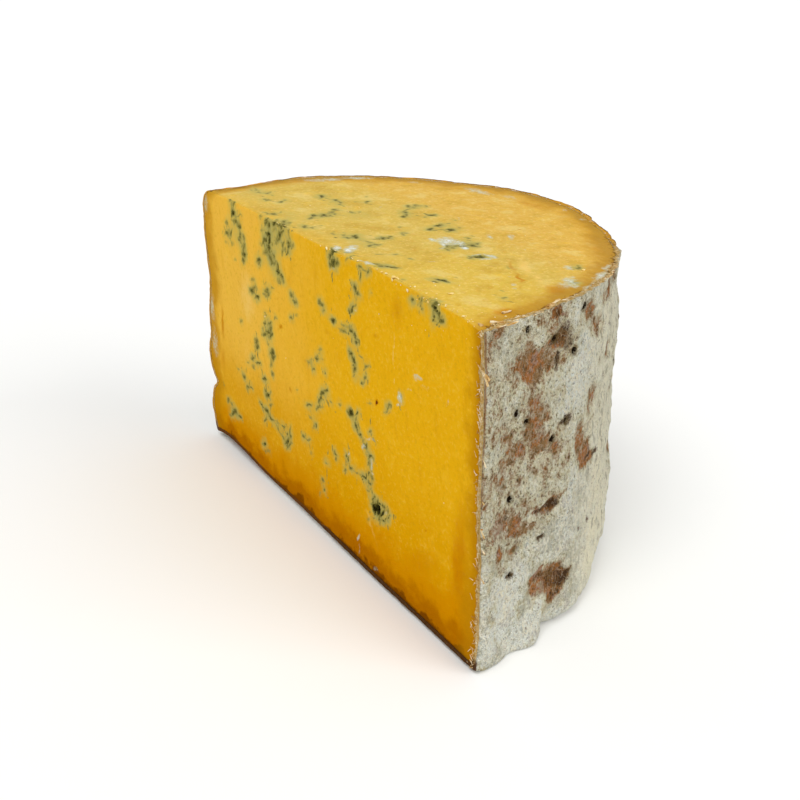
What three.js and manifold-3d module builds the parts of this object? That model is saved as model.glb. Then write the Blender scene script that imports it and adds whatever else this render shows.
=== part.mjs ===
import * as THREE from 'three';
import { mergeVertices } from 'three/addons/utils/BufferGeometryUtils.js';
import Module from 'manifold-3d';

// Half of a blue cheese: a drum that was cut across its middle and then down its diameter.
// Millimetres, +Z up. The piece stands on the drum's old base, with its straight cut face towards -Y.
// The origin is on the ground, under the middle of the piece.

// The drum and its two cuts
const DRUM_RADIUS = 100;
const CUT_HEIGHT = 112; // from the base to the level cut
const AXIS_X = -0.6;
const AXIS_Y = -48.2;
const AXIS_BEHIND_CUT = 4.3; // the knife went down just in front of the drum's axis

// Steps of the surface
const RIND_STEPS_ROUND = 176;
const RIND_STEP_UP = 3.8;
const CUT_STEP = 5.2;
const EDGE_STEPS = 5;

// Worn edges
const BASE_ROUND = 10; // the largest rounding between base and side, at the back
const BASE_ROUND_NEAR_CUT = 1; // where the knife passed, at both ends of the straight cut
const BASE_ROUND_BETWEEN = 5.5; // a little round from the near end
const SHOULDER_ROUND = 8; // the far corner of the two cuts is rubbed round
const ARRIS_SLOPE = 0.45; // rise of the worn strip under the straight cut, for each mm nearer to the cut
const ARRIS_LIFT = 1.2; // rise of the strip at the cut itself, then what is added: [x, half length, rise]
const ARRIS_LIFTS = [[-82, 26, 3], [-20, 50, 1.3], [-104, 9, -1.2]];
const SPARE = 12; // how far the drum and the knife block reach past what is kept

// Stretches of the rind, in degrees round: from where each starts and is full to where it fades and ends.
// 0 degrees is the near end of the straight cut and 180 the far end.
const UNEVEN_BACK = [50, 75, 150, 170];
const ROUNDED_BASE = [13, 17, 160, 176];
const ROUNDEST_BASE = [32, 40, 135, 165];
const RUBBED_SHOULDER = [158, 176];
const EVEN_SHARE = 0.45; // of the waves, that the rest of the rind has

// Waves of the surface, as [length of a swell, height of a swell]
const RIND_WAVES = [[30, 1.2], [13, 0.55], [7.5, 0.4]];
const CUT_WAVE = [34, 0.3];

// Rises and dips of the level cut: [x, half length, half depth, rise], and along its rim
// [degrees round, half degrees, half depth, rise]
const FRONT_RISES = [[50, 32, 40, 1.3], [104, 9, 30, -1.5], [-100, 20, 40, -0.9]];
const RIM_RISES = [[95, 30, 30, 0.9], [56, 17, 13, -2.2]];

// Swellings and hollows of the rind: [degrees round, height, half width, half height, rise]
const SWELLINGS = [
  [2, 2, 6, 5, 2.0],
  [10, 2, 6, 5, 2.6],
  [16.5, 2, 4, 5, -2.5],
  [24, 3, 6, 5, 1.2],
  [42, 2, 9, 9, -3.2],
  [48, 35, 20, 5, 1.0],
  [48, 48, 20, 7, -0.8],
  [48, 71, 25, 12, -1.0],
  [48, 106, 22, 6, -1.9],
  [181, 13, 18, 12, 4.2],
  [181, 26.7, 8, 2.6, -3.8],
  [181, 39, 20, 8, 3.9],
  [181, 57, 15, 8, 1.8],
  [181, 73, 20, 10, -1.2],
  [181, 92, 20, 12, 1.0],
  [-2.5, 45, 8, 110, 4.8],
  [-2.5, 12, 7, 9, 1.2],
];

// Patches where the mould has worn off: [degrees round, height, half width, half height, rise]
const BARE_PATCHES = [
  [17, 18, 11, 6, -0.8],
  [14, 46, 7, 2.5, -1.0],
  [10, 96, 6, 4, -0.5],
  [26, 60, 5, 6, -0.5],
];

// Holes left by the needles that let air in: [degrees round, height]
const SHOWN_HOLES = [
  [7, 106], [22, 107], [14, 102], [19.5, 95.5], [5.5, 83], [8, 79], [19, 74], [15, 70], [4.5, 55], [5, 29],
];
const HIDDEN_HOLE_ROWS = 4;
const HIDDEN_HOLE_COLUMNS = 10;
const HIDDEN_HOLES_FROM = [44, 22]; // [degrees round, height]
const HIDDEN_HOLES_SPAN = [130, 82];
const HOLE_STRAY = 4; // how far a hidden hole is out of its row and column
const HOLE_RADIUS = 1.3; // at the surface
const HOLE_DEPTH = 4;

// The open vein in the straight cut: [x from the axis, height, radius, depth]
const OPEN_VEIN = [[46, 29.8, 3.4, 2.4], [42.3, 29.2, 2, 4.5]];

const degrees = (radians) => THREE.MathUtils.radToDeg(radians);
const bell = (t) => Math.exp(-t * t);
const smooth = (t, from, to) => THREE.MathUtils.smoothstep(t, from, to);

// A fixed value from -1 to 1 for each corner of a square lattice
function cornerValue(i, j) {
  const s = Math.sin(i * 127.1 + j * 311.7) * 43758.5453;
  return 2 * (s - Math.floor(s)) - 1;
}

// Smooth uneven waves with one swell for each unit of u and v
function wave(u, v) {
  const i = Math.floor(u);
  const j = Math.floor(v);
  const across = smooth(u - i, 0, 1);
  const up = smooth(v - j, 0, 1);
  const low = THREE.MathUtils.lerp(cornerValue(i, j), cornerValue(i + 1, j), across);
  const high = THREE.MathUtils.lerp(cornerValue(i, j + 1), cornerValue(i + 1, j + 1), across);
  return THREE.MathUtils.lerp(low, high, up);
}

// Degrees round the drum, from -90 to 270, so that nothing jumps at the far end
function degreesRound(x, y) {
  const angle = degrees(Math.atan2(y, x));
  return angle < -90 ? angle + 360 : angle;
}

function between([start, full, fading, end], angle) {
  return smooth(angle, start, full) * (1 - smooth(angle, fading, end));
}

function bump([middle, height, halfWidth, halfHeight, rise], angle, z) {
  const alongRind = THREE.MathUtils.degToRad(angle - middle) * DRUM_RADIUS;
  return rise * bell(alongRind / halfWidth) * bell((z - height) / halfHeight);
}

// How far a quarter-round edge of this radius steps in, at a distance from the edge's own face
function roundedInset(radius, distance) {
  const left = radius - THREE.MathUtils.clamp(distance, 0, radius);
  return radius - Math.sqrt(radius * radius - left * left);
}

// How far the rind stands out from the plain drum
function rindRelief(angle, z) {
  const along = THREE.MathUtils.degToRad(angle) * DRUM_RADIUS;
  const waviness = EVEN_SHARE + (1 - EVEN_SHARE) * between(UNEVEN_BACK, angle);
  let rise = 0;
  for (const [length, height] of RIND_WAVES) {
    rise += height * waviness * wave(along / length, z / length);
  }
  for (const swelling of [...SWELLINGS, ...BARE_PATCHES]) {
    rise += bump(swelling, angle, z);
  }
  const baseRound = BASE_ROUND_NEAR_CUT
    + (BASE_ROUND_BETWEEN - BASE_ROUND_NEAR_CUT) * between(ROUNDED_BASE, angle)
    + (BASE_ROUND - BASE_ROUND_BETWEEN) * between(ROUNDEST_BASE, angle);
  const shoulder = SHOULDER_ROUND * smooth(angle, ...RUBBED_SHOULDER) + 0.01;
  return rise - roundedInset(baseRound, z) - roundedInset(shoulder, CUT_HEIGHT - z);
}

// The level cut is a little crowned along its front, and dips at both ends and on the right of its rim
function levelCutRise(x, behind) {
  const angle = degreesRound(x, behind - AXIS_BEHIND_CUT);
  const toRim = DRUM_RADIUS - Math.hypot(x, behind - AXIS_BEHIND_CUT);
  let total = 0;
  for (const [middle, halfLength, halfDepth, rise] of FRONT_RISES) {
    total += rise * bell((x - middle) / halfLength) * bell(behind / halfDepth);
  }
  for (const [middle, halfDegrees, halfDepth, rise] of RIM_RISES) {
    total += rise * bell((angle - middle) / halfDegrees) * bell(toRim / halfDepth);
  }
  return total;
}

function straightCutWave(x, z) {
  const [length, height] = CUT_WAVE;
  return height * wave(x / length + 7, z / length);
}

// The bottom edge of the straight cut is worn off, most of all towards its far end.
// This is how far the block's underside rises there; the lowest rows of its front crowd up with it.
function wornArris(x, behind, z) {
  let lift = ARRIS_LIFT + SPARE / 2;
  for (const [middle, halfLength, rise] of ARRIS_LIFTS) {
    lift += rise * bell((x - middle) / halfLength);
  }
  return Math.max(lift - ARRIS_SLOPE * behind, 0) * (1 - smooth(z, -SPARE / 2, 2 * SPARE));
}

function bare(geometry) {
  geometry.deleteAttribute('normal');
  geometry.deleteAttribute('uv');
  return mergeVertices(geometry);
}

function moveEach(geometry, move) {
  const place = geometry.getAttribute('position');
  const point = new THREE.Vector3();
  for (let i = 0; i < place.count; i++) {
    point.fromBufferAttribute(place, i);
    move(point);
    place.setXYZ(i, point.x, point.y, point.z);
  }
  return geometry;
}

function drum() {
  const profile = [new THREE.Vector2(0, 0)];
  for (let i = 0; i < EDGE_STEPS; i++) {
    const z = BASE_ROUND * (1 - Math.cos((Math.PI / 2) * (i / EDGE_STEPS)));
    profile.push(new THREE.Vector2(DRUM_RADIUS, z));
  }
  const rows = Math.round((CUT_HEIGHT + SPARE - BASE_ROUND) / RIND_STEP_UP);
  for (let i = 0; i <= rows; i++) {
    const z = THREE.MathUtils.lerp(BASE_ROUND, CUT_HEIGHT + SPARE, i / rows);
    profile.push(new THREE.Vector2(DRUM_RADIUS, z));
  }
  profile.push(new THREE.Vector2(0, CUT_HEIGHT + SPARE));
  const geometry = new THREE.LatheGeometry(profile, RIND_STEPS_ROUND);
  geometry.rotateX(Math.PI / 2);
  return moveEach(bare(geometry), (point) => {
    const radius = Math.hypot(point.x, point.y);
    if (radius < DRUM_RADIUS / 2) return;
    const scale = 1 + rindRelief(degreesRound(point.x, point.y), point.z) / radius;
    point.x *= scale;
    point.y *= scale;
  });
}

// What the knife leaves: a block with the level cut on top and the straight cut in front
function knifeBlock() {
  const width = 2 * (DRUM_RADIUS + SPARE);
  const depth = AXIS_BEHIND_CUT + DRUM_RADIUS + SPARE;
  const height = CUT_HEIGHT + SPARE / 2;
  const geometry = new THREE.BoxGeometry(
    width, depth, height,
    Math.round(width / CUT_STEP), Math.round(depth / CUT_STEP), Math.round(height / CUT_STEP),
  );
  geometry.translate(0, depth / 2 - AXIS_BEHIND_CUT, CUT_HEIGHT - height / 2);
  const near = (a, b) => Math.abs(a - b) < 1e-3;
  return moveEach(bare(geometry), (point) => {
    const { x, y, z } = point;
    const behind = y + AXIS_BEHIND_CUT;
    if (near(behind, 0)) point.y += straightCutWave(x, z);
    if (near(z, CUT_HEIGHT)) point.z += levelCutRise(x, behind);
    point.z += wornArris(x, behind, z);
  });
}

// A cone that points into the rind, half in and half out, so that its mouth is clear of the surface
function needleHole([angle, z]) {
  const geometry = new THREE.ConeGeometry(2 * HOLE_RADIUS, 2 * HOLE_DEPTH, 6);
  geometry.rotateZ(Math.PI / 2);
  geometry.translate(DRUM_RADIUS, 0, z);
  geometry.rotateZ(THREE.MathUtils.degToRad(angle));
  return bare(geometry);
}

function hiddenHoles() {
  const holes = [];
  const [firstAngle, lowest] = HIDDEN_HOLES_FROM;
  const [arc, height] = HIDDEN_HOLES_SPAN;
  for (let row = 0; row < HIDDEN_HOLE_ROWS; row++) {
    for (let column = 0; column < HIDDEN_HOLE_COLUMNS; column++) {
      const angle = firstAngle + (arc * (column + 0.5 * (row % 2))) / HIDDEN_HOLE_COLUMNS;
      const z = lowest + (height * row) / (HIDDEN_HOLE_ROWS - 1);
      const stray = [cornerValue(row, column), cornerValue(column, row + HIDDEN_HOLE_COLUMNS * 2)];
      holes.push([angle + HOLE_STRAY * stray[0], z + HOLE_STRAY * stray[1]]);
    }
  }
  return holes;
}

// A cone that points into the straight cut, half in and half out
function openVein([x, z, radius, depth]) {
  const geometry = new THREE.ConeGeometry(2 * radius, 2 * depth, 8);
  geometry.translate(x, -AXIS_BEHIND_CUT, z);
  return bare(geometry);
}

const wasm = await Module();
wasm.setup();

function solid(geometry) {
  const vertProperties = new Float32Array(geometry.getAttribute('position').array);
  const triVerts = new Uint32Array(geometry.getIndex().array);
  return new wasm.Manifold(new wasm.Mesh({ numProp: 3, vertProperties, triVerts }));
}

function geometryOf(manifold) {
  const mesh = manifold.getMesh();
  const geometry = new THREE.BufferGeometry();
  geometry.setAttribute('position', new THREE.BufferAttribute(mesh.vertProperties, mesh.numProp));
  geometry.setIndex(new THREE.BufferAttribute(mesh.triVerts, 1));
  geometry.computeVertexNormals();
  return geometry;
}

function halfCheese() {
  let cheese = solid(drum()).intersect(solid(knifeBlock()));
  const hollows = [...SHOWN_HOLES, ...hiddenHoles()].map(needleHole).concat(OPEN_VEIN.map(openVein));
  for (const hollow of hollows) {
    cheese = cheese.subtract(solid(hollow));
  }
  const geometry = geometryOf(cheese);
  const looks = { color: 0xdfa226, roughness: 0.5, metalness: 0, flatShading: true };
  const paste = new THREE.MeshStandardMaterial(looks);
  const mesh = new THREE.Mesh(geometry, paste);
  mesh.name = 'half_cheese';
  mesh.position.set(AXIS_X, AXIS_Y, 0);
  return mesh;
}

const group = new THREE.Group();
group.add(halfCheese());
export default group;
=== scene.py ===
"""Half of a blue cheese: orange paste with blue-green veins, inside a dry grey-white mould rind.

The drum was cut level across its middle and then straight down its diameter.
Sizes are in millimetres until a mesh is written; x and y are measured from the drum's own axis.
"""

import math

import bpy
import numpy as np
from mathutils import Matrix, Vector


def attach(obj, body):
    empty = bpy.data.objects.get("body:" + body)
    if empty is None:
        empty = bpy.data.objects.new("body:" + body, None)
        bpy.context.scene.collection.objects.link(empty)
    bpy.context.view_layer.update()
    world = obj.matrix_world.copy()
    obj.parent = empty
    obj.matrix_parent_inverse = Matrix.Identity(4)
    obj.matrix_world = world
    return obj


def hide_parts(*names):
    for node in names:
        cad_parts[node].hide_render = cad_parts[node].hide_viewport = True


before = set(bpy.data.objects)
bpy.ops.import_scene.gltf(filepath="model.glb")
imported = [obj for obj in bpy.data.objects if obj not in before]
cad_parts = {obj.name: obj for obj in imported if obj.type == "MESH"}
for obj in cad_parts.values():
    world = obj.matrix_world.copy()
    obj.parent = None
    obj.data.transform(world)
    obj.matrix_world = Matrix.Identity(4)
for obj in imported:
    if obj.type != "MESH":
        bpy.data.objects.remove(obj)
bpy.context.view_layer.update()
bpy.ops.object.select_all(action="DESELECT")

MM = 0.001

# The drum and its two cuts
DRUM_RADIUS = 100.0
CUT_HEIGHT = 112.0
AXIS = np.array([-0.6, -48.2, 0.0])
AXIS_BEHIND_CUT = 4.3
SPARE = 12.0

# Worn edges: how round they are, and how steeply and how high the lower one is worn
FOOT_ROUND = 10.0
FOOT_ROUND_NEAR_CUT = 1.0
FOOT_ROUND_BETWEEN = 5.5
SHOULDER_ROUND = 8.0
SHARPEST_ROUND = 0.01
ARRIS_SLOPE = 0.45
ARRIS_REACH = 24.0
TOP_ARRIS_ROUND = 0.9

# How far the worn lower edge of the straight cut is lifted, all along and in swells: (x, half width,
# lift)
ARRIS_LIFT = 1.2
ARRIS_LIFTS = ((-82, 26, 3.0), (-20, 50, 1.3), (-104, 9, -1.2))

# Stretches round the rind, in degrees: where each starts and is full, and where it fades and ends
BACK_STRETCH = (50, 75, 150, 170)
ROUNDED_FOOT = (13, 17, 160, 176)
WELL_ROUNDED_FOOT = (32, 40, 135, 165)
FAR_SHOULDER = (158, 176)

# Where the edges of the rind turn from torn and pale to clean and brown: in x, and in degrees round
CLEAN_ALONG = (20, -40)
CLEAN_ROUND = (45, 70)

# The rind, with its thicker backing under the paste, which starts and is full so far from the cuts
RIND_THICK = 1.6
RIND_OVERLAP = 0.8
RIND_BACKING = 4.0
BACKING_GAP = 0.5
BACKING_FROM = (1, 6)
RIND_PROUD = 0.3
CLEAN_EDGE_SUNK = 0.24
BARE_SUNK = 0.5
UNDERSIDE_LUMPS = 0.25

# The torn edge of the rind: how far it draws back at most, its mean reach with its swells as
# (length, start, height), where more of it hangs on, as (height, half height, how far it reaches),
# the grit on its torn faces, and how deep and how far down the outside its top is ragged
TORN_BACK = 0.6
TORN_FRONT = (0.4, ((2.2, 5, 0.5), (0.9, 0, 0.35)))
TORN_TOP = (0.3, ((3.1, 2, 0.8), (1.1, 0, 0.6)))
TORN_TAGS = ((99.5, 1.8, 1.4), (44.5, 1.2, 0.8), (49, 2.2, 0.6))
FRONT_GRIT = 0.12
TOP_GRIT = 0.15
RAGGED_TOP = (0.5, 3)

# Steps of the meshes, how near a plain cut counts as on it, and which angles are shaded smooth
CUT_STEP = 0.67
RIND_STEP = 0.78
BASE_STEP = 2.2
TORN_STEP = 1.5
HIDDEN_STEP = 3.0
SHRED_STEP = 0.2
ON_PLANE = 0.01
SMOOTH_BELOW_DEGREES = 50

# Waves of the surface, as (length of a swell, height of a swell)
RIND_WAVES = ((30, 1.2), (13, 0.55), (7.5, 0.4))
NEAR_WAVINESS = 0.45
CUT_WAVE = (34, 0.3)
CUT_WAVE_REACH = 20
MOULD_LUMPS = ((5.2, 0.6), (2.6, 0.45), (1.6, 0.2))
MEAN_LUMP = 0.35

# Swells of the level cut: those by the straight cut, as (x, half width, reach behind it, rise), and
# those by the rim, as (degrees round, half width, reach in from it, rise)
FRONT_SWELLS = ((50, 32, 40, 1.3), (104, 9, 30, -1.5), (-100, 20, 40, -0.9))
RIM_SWELLS = ((95, 30, 30, 0.9), (56, 17, 13, -2.2))

# Swellings and worn patches of the rind: (degrees round, height, half width, half height, rise)
SWELLINGS = (
    (2, 2, 6, 5, 2), (10, 2, 6, 5, 2.6), (16.5, 2, 4, 5, -2.5), (24, 3, 6, 5, 1.2), (42, 2, 9, 9, -3.2),
    (48, 35, 20, 5, 1), (48, 48, 20, 7, -0.8), (48, 71, 25, 12, -1), (48, 106, 22, 6, -1.9),
    (181, 13, 18, 12, 4.2), (181, 26.7, 8, 2.6, -3.8), (181, 39, 20, 8, 3.9), (181, 57, 15, 8, 1.8),
    (181, 73, 20, 10, -1.2), (181, 92, 20, 12, 1), (-2.5, 45, 8, 110, 4.8), (-2.5, 12, 7, 9, 1.2),
    (17, 18, 11, 6, -0.6), (14, 46, 7, 2.5, -0.8), (10, 96, 6, 4, -0.5), (26, 60, 5, 6, -0.5),
)

# Holes left by the needles that let air in: (degrees round, height)
SHOWN_HOLES = (
    (7, 108.4), (22.4, 108.6), (14, 102.6), (19.8, 96), (5.2, 83.6), (7.8, 79.4), (18.6, 74), (14.6, 70),
    (4.6, 55.4), (5.3, 29.2),
)
# Hidden holes: where they start, how far they run, and how far each strays
HIDDEN_HOLE_ROWS = 4
HIDDEN_HOLE_COLUMNS = 10
HIDDEN_HOLES_FROM = (44, 22)
HIDDEN_HOLES_OVER = (130, 82)
HIDDEN_HOLE_STRAY = 4
HOLE_RADIUS = 1.1
HOLE_DEPTH = 4.0
HOLE_STAIN_REACH = 3.0

# The open vein in the straight cut: (x, height, radius, depth)
OPEN_VEIN = ((46, 29.6, 2.6, 0.9), (42, 29.2, 1.7, 3.6))

# Veins in the straight cut: (x, height, half length, half width, tilt in degrees, darkness)
FRONT_VEINS = (
    (-72, 112, 1.8, 0.8, 50, 0.7), (-69, 111.5, 1.8, 0.6, 30, 0.6), (-70, 106.8, 1.8, 1.3, 20, 1),
    (-64, 106.8, 3.8, 0.4, 12, 0.5), (-68, 103.6, 4.2, 0.8, 5, 0.6), (-64.5, 102.6, 2, 1.1, 15, 0.75),
    (-76.5, 101.5, 1.5, 1.3, 60, 0.5), (-77, 97, 2.8, 1.2, 10, 0.6), (-73, 98, 2.3, 0.7, 45, 0.7),
    (-72.3, 93.8, 1.7, 1.2, 40, 0.35), (-78, 93, 2.5, 1.2, 0, 0.25), (-63.8, 99, 2.2, 1, 40, 0.6),
    (-64.5, 97, 2.2, 0.8, 10, 0.8), (-60, 99, 1.5, 1, 60, 0.45), (-61, 95, 2.8, 1.2, 50, 0.6),
    (-61.2, 92.2, 2, 1, 25, 0.9), (-62, 89.5, 1.9, 0.9, 35, 0.65), (-70.5, 88.3, 1.6, 0.8, 20, 0.3),
    (-54, 84, 2.2, 0.9, 20, 0.4), (-52.5, 81.5, 1.7, 1.2, 60, 0.5), (-55, 79.3, 2.3, 1, 10, 0.8),
    (-50.5, 77.8, 2.3, 0.6, 28, 0.9), (-67, 63.3, 1.7, 0.7, 45, 0.45), (-53, 59.3, 2.4, 1.3, 30, 0.65),
    (-52.5, 57.2, 1.8, 1.1, 30, 0.75), (-44, 111.2, 1.5, 0.7, 50, 0.45), (-43.8, 106, 1.2, 0.8, 30, 0.4),
    (-38.5, 111, 2.6, 0.7, 55, 0.8), (-37.2, 109.3, 1.3, 1.1, 0, 0.9), (-32.5, 110.8, 2, 0.8, 10, 1),
    (-29, 111.2, 3, 0.45, 5, 0.8), (-26.3, 111.3, 1, 0.6, 60, 0.85), (-23.5, 112.3, 1.8, 0.5, 20, 0.65),
    (-25, 110, 1, 0.7, 50, 0.75), (-27.5, 108.3, 2.6, 1, 20, 0.75), (-32.5, 108.6, 2, 0.5, 20, 0.45),
    (-29.5, 106, 2.8, 1, 30, 0.65), (-31, 104, 1.8, 0.8, 25, 0.5), (-37.6, 105.6, 2.2, 0.9, 10, 1),
    (-36.6, 104, 1.9, 1, 80, 0.95), (-40.3, 102.9, 1.5, 0.7, -5, 1), (-42.5, 101.8, 2.8, 0.6, 28, 0.65),
    (-37.4, 101, 2.6, 1, 85, 0.8), (-40.5, 98.8, 4, 1.6, 25, 0.5), (-36.8, 97.2, 3, 1.3, -30, 0.65),
    (-33.5, 98.5, 1.3, 0.7, 10, 0.6), (-33.5, 96.3, 3, 0.8, 15, 0.55), (-35.5, 95.6, 1.5, 0.5, 20, 0.6),
    (-30.5, 93.4, 1.9, 1.2, 25, 1), (-27.5, 92.3, 1.7, 0.9, -25, 0.8), (-25.6, 91.1, 1.2, 0.6, 15, 0.55),
    (-30, 90, 2.2, 1.1, 15, 0.4), (-25, 105, 2.6, 0.7, 60, 0.5), (-26, 102, 2.2, 0.9, 70, 0.5),
    (-20.8, 107, 1.6, 0.7, 20, 0.8), (-18, 106.8, 1.4, 0.5, 15, 0.6), (-20, 105.2, 1.8, 0.6, 65, 0.75),
    (-21, 103, 1, 0.6, 35, 0.8), (-23.5, 103.8, 1.7, 0.5, 20, 0.45), (-20, 111, 1.7, 1.1, 80, 0.45),
    (-47.2, 93.6, 2.3, 0.9, 15, 0.85), (-47.5, 92.2, 1.3, 0.6, 5, 0.75), (-42.3, 86, 1.6, 0.8, 40, 0.35),
    (-41.3, 83, 2.4, 1.1, 10, 0.6), (-40, 82.3, 1, 0.6, 30, 0.6), (-42.5, 81, 2.8, 0.5, 8, 0.55),
    (-36, 85.8, 1.6, 0.5, 25, 0.45), (-19.8, 87.3, 1.8, 0.9, 15, 0.65), (-17, 85.8, 2.4, 0.5, 10, 0.8),
    (-16.3, 80.9, 2.5, 0.8, 15, 0.3), (-20.6, 78.6, 1.1, 0.6, 10, 0.75), (-43.2, 73.6, 1.7, 0.5, 10, 0.5),
    (-34.4, 74.4, 1.5, 0.6, 10, 0.4), (-40, 70.8, 2.5, 0.6, 20, 0.65), (-44.8, 69.3, 2.2, 0.5, 25, 0.6),
    (-40, 68.3, 2.4, 1, 50, 0.6), (-41.8, 66.5, 2.6, 0.7, 15, 0.75), (-38.8, 66.2, 2.4, 0.9, 35, 0.75),
    (-46.5, 66.5, 1.6, 0.6, 20, 0.35), (-44.5, 64.5, 3, 0.7, 25, 0.7), (-42, 61.8, 1.6, 0.6, 30, 0.45),
    (-38.5, 59.3, 2.3, 1, 30, 0.75), (-38, 57.6, 2, 1.2, 20, 0.7), (-40, 54, 2.2, 1.1, 80, 0.5),
    (-39.2, 49.9, 1.5, 1, 15, 0.6), (-46.7, 45.2, 2.4, 0.6, 12, 0.9), (-44.8, 39.2, 1.8, 1.1, 10, 1),
    (-41.8, 41.3, 1.6, 0.5, 60, 0.55), (-42, 36.2, 2.6, 0.6, 25, 0.5), (-50.5, 33.3, 2.6, 0.6, -18, 0.85),
    (-46, 32, 3, 0.7, -15, 0.8), (-42, 30.4, 3.2, 0.5, -12, 0.8), (-36, 28, 4, 0.4, -25, 0.5),
    (-31.5, 26.3, 2, 0.4, -20, 0.55), (-35, 30.9, 3, 0.4, 8, 0.45), (-31, 31.3, 1.6, 0.5, 15, 0.65),
    (-48, 27.5, 2.4, 0.5, 45, 0.6), (-27.8, 26.5, 3, 0.7, 45, 0.9), (-25, 29.8, 1.1, 0.8, 30, 0.8),
    (-25.8, 25.9, 2.6, 0.5, 30, 0.75), (-25.4, 32, 2.6, 0.7, 70, 0.5), (-28.4, 24, 1.5, 0.9, 60, 0.5),
    (-17.3, 51.2, 1.6, 0.4, 15, 0.35), (-8.3, 48.6, 3, 0.6, 18, 0.75), (-7, 44.4, 1.8, 0.9, 0, 0.35),
    (-2.7, 42.8, 1.3, 0.6, 80, 0.8), (-4.8, 41.8, 2.5, 0.6, 70, 0.35), (-13.3, 33.5, 1.3, 0.6, 30, 0.7),
    (-9, 34, 1.8, 0.4, 18, 0.6), (-7, 29.5, 1.8, 0.7, 15, 0.35), (-49.9, 16.2, 1.9, 0.7, 28, 0.9),
    (-46, 14.5, 2.5, 1.2, 15, 0.35), (-57.5, 51, 2.2, 0.6, 20, 0.75), (-51.8, 50.3, 2.6, 0.5, 15, 0.7),
    (-63, 47, 1.5, 0.6, 25, 0.4), (-57.5, 47.3, 2.6, 0.8, 25, 0.4), (-67.5, 39.6, 1.6, 1.2, 20, 0.75),
    (-73, 41.2, 2, 0.5, 8, 0.35), (-64, 36, 2.2, 0.8, 25, 0.6), (-60.8, 37, 2, 0.6, 10, 0.65),
    (-85.8, 22.2, 2.2, 0.9, 30, 0.6), (-78.3, 19.8, 2, 1.3, 20, 0.9), (-81, 18, 2.8, 1, 30, 0.7),
    (-74.3, 19.2, 1.7, 0.8, 0, 0.8), (-82.5, 21.5, 2, 0.7, 0, 0.5), (-84, 16, 2.4, 0.8, 20, 0.4),
    (12.8, 111.6, 1.6, 0.7, 60, 1), (10.8, 109.8, 1.3, 0.7, 30, 0.85), (14, 108.4, 2.8, 1, 15, 0.7),
    (12.8, 107.2, 1.8, 1, 15, 0.9), (16.3, 108.5, 1.6, 0.9, 20, 0.65), (23.2, 111.8, 1.8, 0.4, 35, 0.45),
    (32, 111.2, 1.2, 0.4, 15, 0.75), (32.3, 108.2, 1.8, 0.6, 85, 0.55), (36.9, 111, 0.9, 0.4, 45, 0.8),
    (38.8, 104.8, 1.2, 0.3, 20, 0.4), (28.1, 103.3, 0.9, 0.7, 30, 0.9), (29.7, 102.3, 1.8, 0.7, -15, 0.75),
    (25.5, 95.5, 1.1, 0.5, 30, 0.9), (27, 96.5, 1.2, 0.4, 25, 0.6), (28.5, 97.5, 0.9, 0.4, 25, 0.5),
    (3.5, 91.3, 2.3, 0.7, 5, 0.6), (4.2, 90.7, 0.9, 0.5, 0, 0.7), (6, 89.1, 1, 0.4, 10, 0.55),
    (12, 87.5, 1.7, 0.6, 5, 0.85), (19.5, 85.9, 3.5, 0.5, 8, 0.5), (21, 87.6, 2.4, 0.6, 10, 0.45),
    (25, 88, 1.5, 0.7, -5, 0.95), (27.9, 86.7, 0.9, 0.7, 80, 0.9), (28.5, 85, 1.3, 0.6, 5, 0.8),
    (24.8, 80, 1.5, 0.5, 0, 0.9), (26.6, 78, 1.9, 0.7, -40, 0.95), (27.2, 75, 1.6, 0.9, 80, 0.7),
    (26.8, 72.1, 1, 0.4, 10, 0.5), (34.3, 74.6, 1, 0.8, 40, 0.75), (35.8, 78.5, 1.8, 1, 20, 0.5),
    (32.6, 72, 1, 0.4, 25, 0.65), (32, 80.8, 2.4, 0.5, 8, 0.45), (2.3, 73.6, 2, 0.7, 20, 0.45),
    (3.3, 71, 1.6, 0.5, 10, 0.35), (-0.5, 69.6, 1.4, 0.8, 10, 0.65), (-5, 67.3, 1.5, 0.6, 15, 0.4),
    (-6.5, 65.3, 2.8, 1, 15, 0.35), (-3.3, 64.5, 1, 0.5, 35, 0.65), (5.6, 66.5, 1, 0.4, 40, 0.6),
    (49.8, 69.9, 1, 0.4, 20, 0.8), (48, 67.5, 1.2, 0.35, 45, 0.6), (37.5, 66.2, 2.4, 0.8, 30, 0.3),
    (6.2, 59.8, 2, 0.6, 20, 0.85), (3.5, 57.7, 2.6, 0.9, 35, 0.8), (16, 58, 1.3, 0.5, 15, 0.55),
    (28.5, 59.2, 1.6, 0.5, 35, 0.85), (24, 57.4, 2.5, 1.2, 5, 0.95), (9.5, 56.1, 1.4, 0.4, 5, 0.45),
    (1.4, 54.7, 3, 0.5, 45, 0.75), (-0.5, 50.3, 2.4, 0.5, 25, 0.7), (2, 51.5, 2.5, 0.6, 25, 0.4),
    (27.5, 53.8, 1.9, 0.7, -35, 0.9), (30.5, 51.9, 1.4, 0.4, -20, 0.75), (38, 55.9, 0.9, 0.4, 15, 0.8),
    (40.5, 53.8, 1.4, 0.6, 0, 0.45), (35, 49.3, 1.2, 0.9, 40, 0.8), (34, 48.2, 1.4, 0.4, 25, 0.7),
    (37.8, 46.5, 1.3, 0.6, 45, 1), (36, 43.8, 1.2, 0.4, 50, 0.7), (38, 41.9, 0.8, 0.5, 0, 0.6),
    (38.2, 39.4, 1.4, 0.7, -15, 0.65), (33.3, 37.2, 1.5, 0.6, 5, 1), (36.8, 36.3, 1.3, 0.7, -30, 0.9),
    (36, 33.6, 1.8, 0.4, 5, 0.5), (12.2, 37.6, 1.3, 0.8, 0, 0.7), (12.2, 35.2, 0.9, 0.7, 60, 0.6),
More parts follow.
